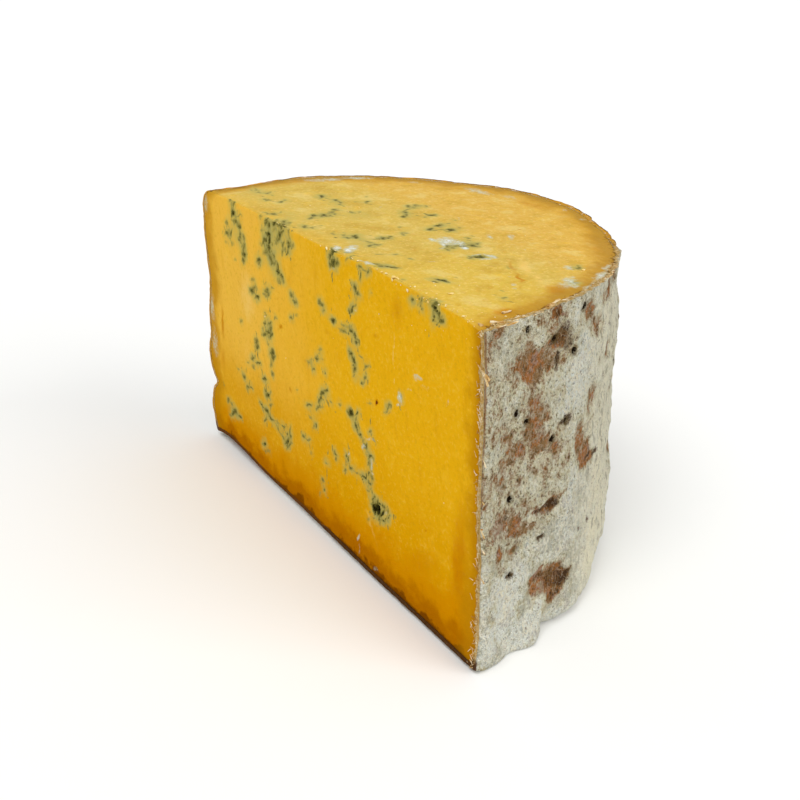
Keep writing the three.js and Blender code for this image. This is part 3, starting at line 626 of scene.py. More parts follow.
def hidden_holes():
    """Rows of needle holes round the side that the photograph doesn't show."""
    holes = []
    for row in range(HIDDEN_HOLE_ROWS):
        for column in range(HIDDEN_HOLE_COLUMNS):
            across = (column + 0.5 * (row % 2)) / HIDDEN_HOLE_COLUMNS
            up = row / (HIDDEN_HOLE_ROWS - 1)
            angle = HIDDEN_HOLES_FROM[0] + HIDDEN_HOLES_OVER[0] * across
            z = HIDDEN_HOLES_FROM[1] + HIDDEN_HOLES_OVER[1] * up
            angle += HIDDEN_HOLE_STRAY * corner_value(row, column)
            z += HIDDEN_HOLE_STRAY * corner_value(column, row + 20)
            holes.append((angle, z))
    return holes


def select_only(piece):
    bpy.ops.object.select_all(action="DESELECT")
    piece.select_set(True)
    bpy.context.view_layer.objects.active = piece


def mesh_points(piece, middle=AXIS):
    """The points of a mesh in millimetres from the drum's axis, or from another middle."""
    points = np.empty(len(piece.data.vertices) * 3)
    piece.data.vertices.foreach_get("co", points)
    return points.reshape(-1, 3) / MM - middle


def move_points(piece, points, middle=AXIS):
    piece.data.vertices.foreach_set("co", ((points + middle) * MM).ravel())
    piece.data.update()


def slice_edges(piece, direction, step):
    """Cuts every edge that runs in a direction into lengths of about one step, and the faces with them."""
    points = mesh_points(piece)
    ends = np.empty(len(piece.data.edges) * 2, dtype=int)
    piece.data.edges.foreach_get("vertices", ends)
    runs = np.diff(points[ends.reshape(-1, 2)], axis=1)[:, 0, :]
    lengths = np.linalg.norm(runs, axis=1)
    chosen = np.abs(runs @ np.array(direction)) > 0.99 * lengths
    select_only(piece)
    bpy.ops.object.mode_set(mode="EDIT")
    bpy.ops.mesh.select_mode(type="EDGE")
    bpy.ops.mesh.select_all(action="DESELECT")
    bpy.ops.object.mode_set(mode="OBJECT")
    piece.data.edges.foreach_set("select", chosen)
    bpy.ops.object.mode_set(mode="EDIT")
    cuts = round(lengths[chosen].max() / step) - 1
    bpy.ops.mesh.subdivide_edgering(number_cuts=cuts, interpolation="LINEAR")
    bpy.ops.object.mode_set(mode="OBJECT")


def knife_block(name, proud, step):
    """What the knife leaves: a block whose front and top are the two cuts, in squares of one step."""
    across = 2 * (DRUM_RADIUS + SPARE)
    front = -AXIS_BEHIND_CUT - proud
    depth = DRUM_RADIUS + SPARE - front
    height = CUT_HEIGHT + proud
    middle = AXIS + np.array([0, front + depth / 2, height / 2])
    bpy.ops.mesh.primitive_cube_add(size=MM, location=middle * MM, scale=(across, depth, height))
    block = bpy.context.object
    block.name = name
    bpy.ops.object.transform_apply(location=True, rotation=True, scale=True)
    slice_edges(block, (1, 0, 0), step)
    slice_edges(block, (0, 1, 0), step)
    slice_edges(block, (0, 0, 1), step)
    return block


def drum(name, radius, bottom, top, step):
    """The half of a drum behind the straight cut, with a little to spare in front of it."""
    height = top - bottom
    middle = AXIS + np.array([0, 0, bottom + height / 2])
    bpy.ops.mesh.primitive_cylinder_add(
        vertices=round(2 * math.pi * radius / step), radius=radius * MM, depth=height * MM,
        location=middle * MM,
    )
    piece = bpy.context.object
    piece.name = name
    bpy.ops.object.transform_apply(location=True, rotation=True, scale=True)
    bpy.ops.object.mode_set(mode="EDIT")
    bpy.ops.mesh.select_all(action="SELECT")
    kept_from = (AXIS - np.array([0, AXIS_BEHIND_CUT + SPARE / 4, 0])) * MM
    bpy.ops.mesh.bisect(plane_co=kept_from, plane_no=(0, 1, 0), use_fill=True, clear_inner=True)
    bpy.ops.object.mode_set(mode="OBJECT")
    slice_edges(piece, (0, 0, 1), step)
    return piece


def carve(piece, tool, operation):
    """Joins a piece with a tool by a Boolean operation, and removes the tool."""
    select_only(piece)
    modifier = piece.modifiers.new("carve", "BOOLEAN")
    modifier.operation = operation
    modifier.solver = "MANIFOLD"
    modifier.object = tool
    bpy.ops.object.modifier_apply(modifier=modifier.name)
    bpy.data.objects.remove(tool, do_unlink=True)


def set_fields(piece, **fields):
    """Stores numbers for each point, which the material reads by their names."""
    for name, values in fields.items():
        field = piece.data.attributes.new(name, "FLOAT", "POINT")
        field.data.foreach_set("value", values.astype(np.float32))


def finish_piece(piece, finish):
    """Gives a piece its finish and ties it to the solid that it stands for."""
    select_only(piece)
    bpy.ops.object.shade_smooth_by_angle(angle=math.radians(SMOOTH_BELOW_DEGREES))
    piece.data.materials.clear()
    piece.data.materials.append(finish)
    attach(piece, "root")
    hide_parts("half_cheese")


def make_paste(finish):
    paste = knife_block("paste", 0, CUT_STEP)
    overlap = RIND_THICK - RIND_OVERLAP
    side = drum("paste_drum", DRUM_RADIUS - overlap, overlap, CUT_HEIGHT + SPARE, HIDDEN_STEP)
    carve(paste, side, "INTERSECT")
    points = mesh_points(paste)
    x, y, z = points.T
    behind = y + AXIS_BEHIND_CUT
    to_top = CUT_HEIGHT - z
    to_rim = DRUM_RADIUS - np.hypot(x, y)
    on_front = behind < ON_PLANE
    on_top = to_top < ON_PLANE
    moved = settle(points)
    front_seen = as_seen(moved[on_front], 1, -AXIS_BEHIND_CUT)
    top_seen = as_seen(moved[on_top], 2, CUT_HEIGHT)

    def on_cuts(front_marks, top_marks, **how):
        covers = np.zeros_like(x)
        covers[on_front] = marks_at(front_seen[:, 0], front_seen[:, 2], front_marks, **how)
        level = marks_at(top_seen[:, 0], top_seen[:, 1] + AXIS_BEHIND_CUT, top_marks, **how)
        covers[on_top] = np.maximum(covers[on_top], level)
        return covers

    cracked_front = branched(FRONT_VEINS, 3, FRONT_GRAIN)
    cracked_top = branched(TOP_VEINS, 4, TOP_GRAIN)
    veins = on_cuts(cracked_front, cracked_top, spread=0.05)
    bloom = on_cuts(FRONT_BLOOM, TOP_BLOOM)
    deep = on_cuts(FRONT_DEEP, TOP_DEEP)
    set_fields(
        paste,
        veins=veins,
        halo=on_cuts(FRONT_VEINS, TOP_VEINS, spread=HALO_SPREAD, widen=0.7),
        bloom=bloom,
        deep=deep,
        pale=on_cuts(FRONT_PALE, TOP_PALE),
        stain=on_cuts(FRONT_STAIN, TOP_STAIN),
        level=on_top * (0.75 + 0.25 * smooth(behind, 1, 12)),
        near=smooth(x, -95, 45),
        low=smooth(z, 75, 12),
        ripe=on_top * smooth(x, 0, 60) * smooth(behind, 50, 25),
        back=on_top * smooth(behind, 30, 75),
        to_rim=to_rim,
        height=z,
        to_arris=np.maximum(behind, to_top),
        # painted shadow: where the curd beside the rind's near edge is darkened
        near_edge=on_front * smooth(x, 92, 98.5),
        near_rim=on_top * smooth(x, 20, 60),
    )

    grit = wave(x / 1.4, (y + z) / 1.4)
    pits = VEIN_PIT * smooth(veins, 0.45, 1) * (0.6 + 0.4 * grit)
    creases = CREASE_PIT * on_top * smooth(deep, 0.5, 0.8)
    puffs = BLOOM_PUFF * smooth(bloom, 0.3, 0.9) * (0.6 + 0.6 * grit)
    sink = pits + creases - puffs
    for hole_x, hole_z, radius, depth in OPEN_VEIN:
        distance = np.hypot(x - hole_x, z - hole_z)
        sink = np.maximum(sink, on_front * depth * np.clip(1 - distance / radius, 0, 1))
    rounding = TOP_ARRIS_ROUND * (0.7 + 0.5 * ripple(x / 4))
    edge_front = on_front * 0.5 * rounding * np.clip(1 - to_top / rounding, 0, 1) ** 2
    edge_top = on_top * 0.5 * rounding * np.clip(1 - behind / rounding, 0, 1) ** 2
    moved[:, 1] += on_front * (sink + 0.05 * wave(x / 3.1, z / 3.1)) + edge_front
    moved[:, 2] -= on_top * (sink + 0.07 * wave(x / 4.3, y / 2.7)) + edge_top
    sheltered = smooth(np.minimum(behind, to_top), *BACKING_FROM) * (to_rim < RIND_THICK)
    inward = 1 - (RIND_BACKING + BACKING_GAP) * sheltered / DRUM_RADIUS
    moved[:, :2] *= inward[:, None]
    move_points(paste, moved)
    finish_piece(paste, finish)


def hole_distance(angle, z):
    """How far each point of the rind is from the middle of the nearest needle hole, within its stain."""
    nearest = np.full_like(z, HOLE_STAIN_REACH)
    for middle, height in (*SHOWN_HOLES, *hidden_holes()):
        aside = np.radians(angle - middle) * DRUM_RADIUS
        distance = np.hypot(aside, z - height) * (1 + 0.25 * wave(aside / 1.1 + middle, z / 1.1))
        nearest = np.minimum(nearest, distance)
    return nearest


def patches_at(angle, z, patches):
    """How strongly a list of patches covers each point of the rind."""
    along = np.radians(angle) * DRUM_RADIUS
    bent_along, bent_z = bent(along, z, PATCH_BENDS)
    cover = np.zeros_like(z)
    for middle, height, half_width, half_height, strength in patches:
        aside = (bent_along - math.radians(middle) * DRUM_RADIUS) / half_width
        above = (bent_z - height) / half_height
        cover = np.maximum(cover, strength * bell(0.8 * (aside**2 + above**2)))
    return cover


def hidden_patches():
    """Bare patches round the side that the photograph doesn't show, like those that it does."""
    draw = np.random.default_rng(7)
    return [[draw.uniform(*limits) for limits in HIDDEN_PATCH_LIMITS] for _ in range(HIDDEN_PATCHES)]


def lumps_at(along, z):
    """The knobbly surface of dry mould: rounded lumps with creases between them."""
    rise = np.zeros_like(z)
    for size, height in MOULD_LUMPS:
        rise += height * (np.abs(wave(along / size + size, z / size + 3 * size)) - MEAN_LUMP)
    return rise


def make_rind(finish):
    rind = drum("rind", DRUM_RADIUS, -SPARE, CUT_HEIGHT + SPARE, RIND_STEP)
    carve(rind, knife_block("rind_block", RIND_PROUD, BASE_STEP), "INTERSECT")
    core = drum("rind_core", DRUM_RADIUS - RIND_THICK, RIND_THICK, CUT_HEIGHT + 2 * SPARE, TORN_STEP)
    carve(rind, core, "DIFFERENCE")
    points = mesh_points(rind)
    x, y, z = points.T
    behind = y + AXIS_BEHIND_CUT
    radius = np.hypot(x, y)
    angle = degrees_round(x, y)
    along = np.radians(angle) * DRUM_RADIUS
    outside = smooth(radius, DRUM_RADIUS - 0.6, DRUM_RADIUS - 0.1)
    underneath = z < ON_PLANE
    on_front = behind < ON_PLANE - RIND_PROUD
    on_top = z > CUT_HEIGHT + RIND_PROUD - ON_PLANE
    hidden = hidden_patches()
    thin = NEAR_THIN * smooth(z, *NEAR_THIN_HEIGHTS) * (1 - smooth(angle, *NEAR_THIN_DEGREES))
    bare = np.maximum(patches_at(angle, z, (*BARE_PLACES, *hidden[::2])), thin)
    dark = patches_at(angle, z, (*DARK_PLACES, *hidden[1::8]))
    to_hole = hole_distance(angle, z)
    holes = HOLE_DEPTH * np.clip(1 - to_hole / HOLE_RADIUS, 0, 1)
    clean_along = smooth(x, *CLEAN_ALONG)
    clean_round = smooth(angle, *CLEAN_ROUND)
    clean = np.maximum(clean_along * on_front, clean_round * on_top)
    lip = np.maximum(
        clean_along * smooth(behind, 1.2, 0.2), clean_round * smooth(z, CUT_HEIGHT - 1, CUT_HEIGHT)
    )
    set_fields(
        rind,
        bare=bare,
        white=patches_at(angle, z, (*WHITE_PLACES, *hidden[3::4])),
        dark=dark,
        to_hole=to_hole,
        cut=np.maximum(on_front, on_top) * smooth(DRUM_RADIUS - radius, 0, 0.6),
        clean=np.maximum(clean, outside * lip),
        # the cut strip's foot, painted dark brown like the paste's base: partly browning, partly painted
        # shade
        foot=on_front * smooth(z, 6, 3),
        height=z,
        round=angle,
        corner=outside * (x > 0) * np.clip(0.8 - behind / 1.6, 0, 1) * smooth(z, 50, 60),
    )

    moved = settle(points)
    mould = 1 - smooth(np.maximum(bare, dark), 0.35, 0.8)
    torn_share = 1 - clean
    depth, reach_down = RAGGED_TOP
    ragged_top = depth * smooth(z, CUT_HEIGHT - reach_down, CUT_HEIGHT) * (0.4 + ripple(along / 4.3))
    outward = outside * (lumps_at(along, z) * (0.35 + 0.65 * mould) - BARE_SUNK * (1 - mould) - holes)
    outward -= outside * torn_share * ragged_top
    inside = (radius < DRUM_RADIUS - RIND_THICK + 0.5) & (z > RIND_THICK - ON_PLANE)
    outward -= inside * RIND_BACKING * smooth(np.minimum(behind, CUT_HEIGHT - z), *BACKING_FROM)
    torn = ragged(z, *TORN_FRONT)
    for height, half_height, more in TORN_TAGS:
        torn += more * bell((z - height) / half_height)
    torn_top = ragged(along, *TORN_TOP)
    reach = on_front * np.maximum(torn, -TORN_BACK) + on_top * np.maximum(torn_top, -TORN_BACK)
    outward -= inside * torn_share * reach
    moved[:, :2] *= (1 + outward / np.maximum(radius, 1))[:, None]
    off_axis = smooth(radius, 0, 1)
    sunk = CLEAN_EDGE_SUNK * clean
    front_grit = torn_share * FRONT_GRIT * (wave(x / 0.8, z / 0.8) + 1)
    top_grit = torn_share * TOP_GRIT * (wave(along / 0.9, radius / 0.8) + 1)
    moved[:, 1] += on_front * (sunk - front_grit) * off_axis
    moved[:, 2] += underneath * UNDERSIDE_LUMPS * lumps_at(x, y) * off_axis
    moved[:, 2] += on_top * (top_grit - sunk)
    move_points(rind, moved)
    finish_piece(rind, finish)


def make_shred(curl, taper):
    """One torn shred, 1 mm long: a thin strip that tapers and curls up from its held end."""
    bpy.ops.mesh.primitive_cube_add(size=MM, location=(0, 0, 0))
    shred = bpy.context.object
    slice_edges(shred, (1, 0, 0), SHRED_STEP)
    points = mesh_points(shred, 0)
    x, y, z = points.T
    reach = x + 0.5
    side = 1 - taper * reach**2 + 0.25 * np.sin(9 * reach)
    rise = z * (1 - 0.5 * reach) + curl * reach**2
    move_points(shred, np.column_stack([reach, y * side + 0.3 * reach**2, rise]), 0)
    return shred


def make_crumb(flat):
    """One crumb, 1 mm across."""
    bpy.ops.mesh.primitive_ico_sphere_add(subdivisions=1, radius=0.5 * MM, location=(0, 0, 0))
    crumb = bpy.context.object
    points = mesh_points(crumb, 0)
    x, y, z = points.T
    move_points(crumb, np.column_stack([x * (1 + 0.5 * z), y * (1 - 0.4 * x), z * flat]), 0)
    return crumb


def scatter(name, kinds, places, outward, along, sizes, slot, finish):
    """Copies of some kinds of bits, each with its own mesh, joined into one piece. Each lies at its
    place with its back to the piece and points along its own direction."""
    draw = np.random.default_rng(len(places))
    settled = (settle(places) + outward * sizes[:, 2:] * BIT_LIFT + AXIS) * MM
    bits = []
    for place, up, ahead, size in zip(settled, outward, along, sizes):
        kind = kinds[draw.integers(len(kinds))]
        bit = kind.copy()
        bit.data = kind.data.copy()
        up = Vector(up)
        ahead = (Vector(ahead) - up * up.dot(Vector(ahead))).normalized()
        facing = Matrix((ahead, up.cross(ahead), up)).transposed().to_4x4()
        bit.matrix_world = Matrix.Translation(place) @ facing @ Matrix.Diagonal((*size, 1))
        bpy.context.collection.objects.link(bit)
        bits.append(bit)
    bpy.ops.object.select_all(action="DESELECT")
    for bit in bits:
        bit.select_set(True)
    bpy.context.view_layer.objects.active = bits[0]
    bpy.ops.object.transform_apply(location=True, rotation=True, scale=True)
    bpy.ops.object.join()
    for kind in kinds:
        bpy.data.objects.remove(kind, do_unlink=True)
    piece = bits[0]
    piece.name = name
    finish_piece(piece, finish)


def make_frays(finish):
    """Shreds and flakes of crust along the edges that the knife tore."""
    draw = np.random.default_rng(12)
    places, outward, along, sizes = [], [], [], []

    def fray(x, y, z, up, ahead, length, width):
        places.append((x, y, z))
        outward.append(up)
        along.append(ahead)
        sizes.append((length, width, 0.3 * width + 0.1))

    for _ in range(SHREDS_NEAR_EDGE):
        radius = DRUM_RADIUS - SHRED_INSET - abs(draw.normal(0, SHRED_STRAY))
        turn = math.radians(draw.normal(*SHRED_TURN) * draw.choice((-1, 1)))
        ahead = (-0.4 - abs(math.cos(turn)), 0, math.sin(turn))
        x = math.sqrt(radius**2 - AXIS_BEHIND_CUT**2)
        y = -AXIS_BEHIND_CUT - RIND_PROUD
        length, width = draw.uniform(*SHRED_LENGTHS), draw.uniform(*SHRED_WIDTHS)
        fray(x, y, draw.uniform(0.5, CUT_HEIGHT), (0, -1, 0), ahead, length, width)
    for start, end, count, longest in RIM_SHREDS:
        for _ in range(count):
            angle = math.radians(draw.uniform(start, end))
            radius = DRUM_RADIUS - RIM_SHRED_INSET - abs(draw.normal(0, RIM_SHRED_STRAY))
            x, y = radius * math.cos(angle), radius * math.sin(angle)
            turn = angle + math.radians(draw.normal(*RIM_SHRED_TURN)) * draw.choice((-1, 1))
            ahead = (math.cos(turn) - 0.2 * math.cos(angle), math.sin(turn) - 0.2 * math.sin(angle), 0)
            length, width = draw.uniform(RIM_SHRED_SHORTEST, longest), draw.uniform(*RIM_SHRED_WIDTHS)
            fray(x, y, CUT_HEIGHT + RIND_PROUD, (0, 0, 1), ahead, length, width)
    for x, z, length, width, tilt in FLAPS:
        turn = math.radians(tilt)
        ahead = (math.cos(turn), 0, math.sin(turn))
        fray(x, -AXIS_BEHIND_CUT - RIND_PROUD, z, (0, -1, 0), ahead, length, width)
    for x, behind, length, width, tilt in CHIPS:
        turn = math.radians(tilt)
        ahead = (math.cos(turn), math.sin(turn), 0)
        fray(x, behind - AXIS_BEHIND_CUT, CUT_HEIGHT, (0, 0, 1), ahead, length, width)
    kinds = [make_shred(curl, taper) for curl, taper in SHRED_KINDS]
    arrays = [np.array(values, dtype=float) for values in (places, outward, along, sizes)]
    scatter("rind_frays", kinds, *arrays, "rind", finish)


def make_crumbs(finish):
    """Crumbs along the edge between the two cuts, and a few on both."""
    draw = np.random.default_rng(5)
    places, outward, sizes = [], [], []
    for start, end, reach, count in CRUMB_BANDS:
        for _ in range(count):
            x = draw.uniform(start, end)
            behind = draw.uniform(0, reach)
            if draw.random() < CRUMBS_ON_TOP and math.hypot(x, behind - AXIS_BEHIND_CUT) < DRUM_RADIUS - 1:
                places.append((x, behind - AXIS_BEHIND_CUT, CUT_HEIGHT))
                outward.append((0, 0, 1))
            else:
                places.append((x, -AXIS_BEHIND_CUT, CUT_HEIGHT - behind))
                outward.append((0, -1, 0))
            size = SMALLEST_CRUMB + draw.exponential(CRUMB_SPREAD)
            sizes.append([size * share for share in CRUMB_SHAPE])
    along = draw.normal(0, 1, (len(places), 3))
    kinds = [make_crumb(flat) for flat in CRUMB_FLATNESS]
    arrays = [np.array(values, dtype=float) for values in (places, outward)]
    scatter("paste_crumbs", kinds, *arrays, along, np.array(sizes), "paste", finish)


def linear(hex_colour):
    """An sRGB hex value such as E0A030 as a linear RGBA colour."""
    channels = [int(hex_colour[i:i + 2], 16) / 255 for i in (0, 2, 4)]
    return [c / 12.92 if c <= 0.04045 else ((c + 0.055) / 1.055) ** 2.4 for c in channels] + [1.0]


def per_metre(size):
    """The scale of a pattern that repeats at a real size in millimetres."""
    return 1 / (size * MM)


def new_material(name):
    """An empty material, and its nodes."""
    material = bpy.data.materials.new(name)
    material.use_nodes = True
    tree = material.node_tree
    tree.nodes.clear()
    return material, tree


def add(tree, kind, inputs=None, output="", **settings):
    """Adds one node with its settings, and with a value or a link for each named input. Gives back its
    output of a name, or its first."""
    node = tree.nodes.new("ShaderNode" + kind)
    for name, value in settings.items():
        setattr(node, name, value)
    for name, value in (inputs or {}).items():
        socket = next(s for s in node.inputs if name in (s.identifier, s.name))
        if isinstance(value, bpy.types.NodeSocket):
            tree.links.new(value, socket)
        else:
            socket.default_value = value
    return next((s for s in node.outputs if output in ("", s.identifier, s.name)), None)


def mixture(tree, *terms):
    """The sum of some patterns, each times its weight. A weight may be a pattern too, or a list of
    such terms."""
    total = 0.0
    for pattern, weight in terms:
        if isinstance(weight, list):
            weight = mixture(tree, *weight)
        values = {"Value": pattern, "Value_001": weight, "Value_002": total}
        total = add(tree, "Math", values, operation="MULTIPLY_ADD")
    return total


def paint(tree, ground, coats):
    """Lays coats over a ground colour. Each coat is a pattern, its values where the coat starts and where
    it is full, its colour, and how much it covers there, as a number or a list of terms of a mixture."""
    colour = ground if isinstance(ground, bpy.types.NodeSocket) else linear(ground)
    for pattern, start, full, hex_colour, cover in coats:
        if isinstance(cover, list):
            cover = mixture(tree, *cover)
        reach = {"Value": pattern, "From Min": start, "From Max": full, "To Min": 0.0, "To Max": cover}
        share = add(tree, "MapRange", reach, interpolation_type="SMOOTHSTEP")
        colours = {"Factor_Float": share, "A_Color": colour, "B_Color": linear(hex_colour)}
        colour = add(tree, "Mix", colours, "Result_Color", data_type="RGBA")
    return colour


def cheese_paste():
    """Pressed cow's milk curd dyed orange with annatto: close and waxy, moist on the level cut, browner
    and drier towards the rind, with blue-green mould along its cracks."""
    material, tree = new_material("cheese_paste")
    place = add(tree, "TexCoord", output="Object")
    names = (
        "veins", "halo", "bloom", "deep", "pale", "stain", "level", "near", "low", "ripe", "back", "to_rim",
        "height", "to_arris", "near_edge", "near_rim",
    )
    (
        veins, halo, bloom, deep, pale, stain, level, near, low, ripe, back, to_rim, height, to_arris,
        near_edge, near_rim,
    ) = (add(tree, "Attribute", output="Fac", attribute_name=name) for name in names)
    broad, cloud, mottle, speck, fine = (
        add(tree, "TexNoise", {
            "Vector": place, "Scale": per_metre(size), "Detail": detail, "Roughness": 0.6,
        })
        for size, detail in ((26, 3), (11, 4), (5, 4), (1.3, 3), (0.5, 2))
    )
    across = add(tree, "Mapping", {"Vector": place, "Rotation": [0, 0, math.radians(-48)]})
    smeared = add(tree, "Mapping", {"Vector": across, "Scale": [0.35, 1, 1]})
    leaning = add(tree, "Mapping", {"Vector": place, "Rotation": [0, math.radians(14), 0]})
    dragged = add(tree, "Mapping", {"Vector": leaning, "Scale": [1, 1, 0.25]})
    smear, drag = (
        add(tree, "TexNoise", {
            "Vector": stretched, "Scale": per_metre(size), "Detail": 4, "Roughness": roughness,
        })
        for stretched, size, roughness in ((smeared, 2.6, 0.65), (dragged, 3.5, 0.6))
    )

    # deeper orange towards the near end and paler towards the far end: partly the curd's own colour, partly
    # painted light, the far end of the straight cut lit brighter
    near_deeper_far_lit = mixture(tree, (near, 1.0), (broad, 0.5), (1.0, -0.25))
    # deeper orange lower down the straight cut: partly the curd's own colour, partly painted shade
    low_deeper_and_shaded = mixture(tree, (low, 1.0), (broad, 0.6), (1.0, -0.3))
    vein_cover = mixture(tree, (veins, [(fine, 1.2), (speck, 1.2), (1.0, -0.2)]))
    bloom_cover = mixture(tree, (bloom, [(speck, 2.6), (fine, 1.8), (1.0, -1.2)]))
    patchy = mixture(tree, (mottle, 1.0), (drag, 1.2), (speck, 0.8), (fine, 0.4), (1.0, -0.7))
    halo_cover, pale_cover, deep_cover = (mixture(tree, (marks, patchy)) for marks in (halo, pale, deep))
    stain_cover = mixture(tree, (stain, patchy), (halo_cover, 0.25))
    rim = mixture(tree, (to_rim, 1.0), (broad, 14.0), (mottle, 8.0), (1.0, -11.0))
    rim_crack = mixture(tree, (to_rim, 1.0), (mottle, 9.0), (speck, 11.0), (1.0, -10.0))
    rim_speck = mixture(tree, (to_rim, 0.08), (speck, 1.0))
    # darker brown towards the base: partly browned curd, partly painted shade along the foot
    foot = mixture(
        tree, (height, 1.0), (broad, 12.0), (cloud, 20.0), (mottle, 8.0), (near, -3.5), (1.0, -17.0)
    )
    # painted highlight: a lighter band along the edge between the straight and the level cut
    arris_highlight = mixture(tree, (to_arris, 1.0), (mottle, 2.0), (1.0, -1.0))
    colour = paint(tree, "E8B542", (
        (near_deeper_far_lit, 0.1, 1.0, "E2AA12", 1.0),
        (low_deeper_and_shaded, 0.1, 1.0, "D49800", 0.85),
        (level, 0.3, 1.0, "D0B04E", 1.0),
        (ripe, 0.1, 1.0, "D8B442", 0.7),
        (back, 0.1, 1.0, "DEAA44", 0.6),
        (smear, 0.54, 0.74, "E4D08C", [(level, 0.3)]),
        (cloud, 0.47, 0.34, "BC942C", [(level, 0.5)]),
        (cloud, 0.53, 0.66, "E2CA78", [(level, 0.5)]),
        (speck, 0.55, 0.66, "EBD68E", [(level, 0.3)]),
        (mottle, 0.5, 0.8, "EDBE34", 0.35),
        (drag, 0.47, 0.3, "C88E10", 0.25),
        (speck, 0.54, 0.68, "F0C650", 0.22),
        (speck, 0.45, 0.32, "B88A18", 0.25),
        (pale_cover, 0.2, 0.9, "EBC468", 0.7),
        (deep_cover, 0.12, 0.9, "C07A02", 0.8),
        (deep_cover, 0.9, 1.2, "6B3410", 1.0),
        # darkening towards the base: browned curd and painted shade
        (foot, 28, 13, "CC8800", 0.9),
        (foot, 14, 6, "A86400", 0.85),
        (foot, 4, 1.5, "6E3C02", 0.85),
        # painted shadow of the rind's edge on the curd beside it
        (near_edge, 0.1, 1.0, "B87808", 0.6),
        (rim, 12, 4, "B27B0A", 0.7),
        (rim, 17, 5, "C8921E", [(level, 0.55), (near_rim, -0.35)]),
        (rim, 9, 3, "A07A26", [(level, 0.65), (near_rim, -0.3)]),
        (rim_crack, 2.6, 0.8, "6E4716", [(near_rim, 0.8)]),
        (rim_speck, 0.5, 0.3, "8A5A14", [(near_rim, 0.6)]),
        # painted highlight along the edge between the two cuts
        (arris_highlight, 1.1, 0.3, "F0C040", 0.25),
        (stain_cover, 0.1, 0.9, "C0AC54", 0.7),
        (halo_cover, 0.1, 0.7, "BAAA54", 0.65),
        (halo_cover, 0.45, 1.05, "A09A5C", 0.75),
        (stain_cover, 0.7, 1.3, "A09A5E", 0.7),
        (vein_cover, 0.08, 0.34, "908846", 0.7),
        (vein_cover, 0.3, 0.58, "66602A", 0.8),
        (vein_cover, 0.56, 0.95, "2C2A0C", 0.9),
        # near black where the veins are strongest, mostly in the open vein's pit: dark mould there and
        # painted shade in the hollow
        (vein_cover, 1.15, 1.6, "0C0B02", 1.0),
        (bloom_cover, 0.1, 0.6, "C4C6AC", 0.8),
        (bloom_cover, 0.6, 1.0, "E2E6E0", 0.9),
        (fine, 0.7, 0.8, "F4D78A", 0.12),
    ))
    relief = mixture(
        tree, (fine, 0.35), (speck, 0.6), (mottle, 0.9), (drag, 0.4), (level, [(smear, 0.8)])
    )
    bump = add(tree, "Bump", {"Height": relief, "Strength": 0.5, "Distance": 0.5 * MM})
    shader = add(tree, "BsdfPrincipled", {
        "Base Color": colour,
        "Roughness": 0.6,
        "Specular IOR Level": 0.0,
        "Coat Weight": mixture(tree, (level, 0.2)),
        "Coat Roughness": 0.35,
        "Normal": bump,
        "Subsurface Weight": 0.1,
        "Subsurface Radius": (1.0, 0.5, 0.12),
        "Subsurface Scale": 1.5 * MM,
    })
    add(tree, "OutputMaterial", {"Surface": shader})
    return material


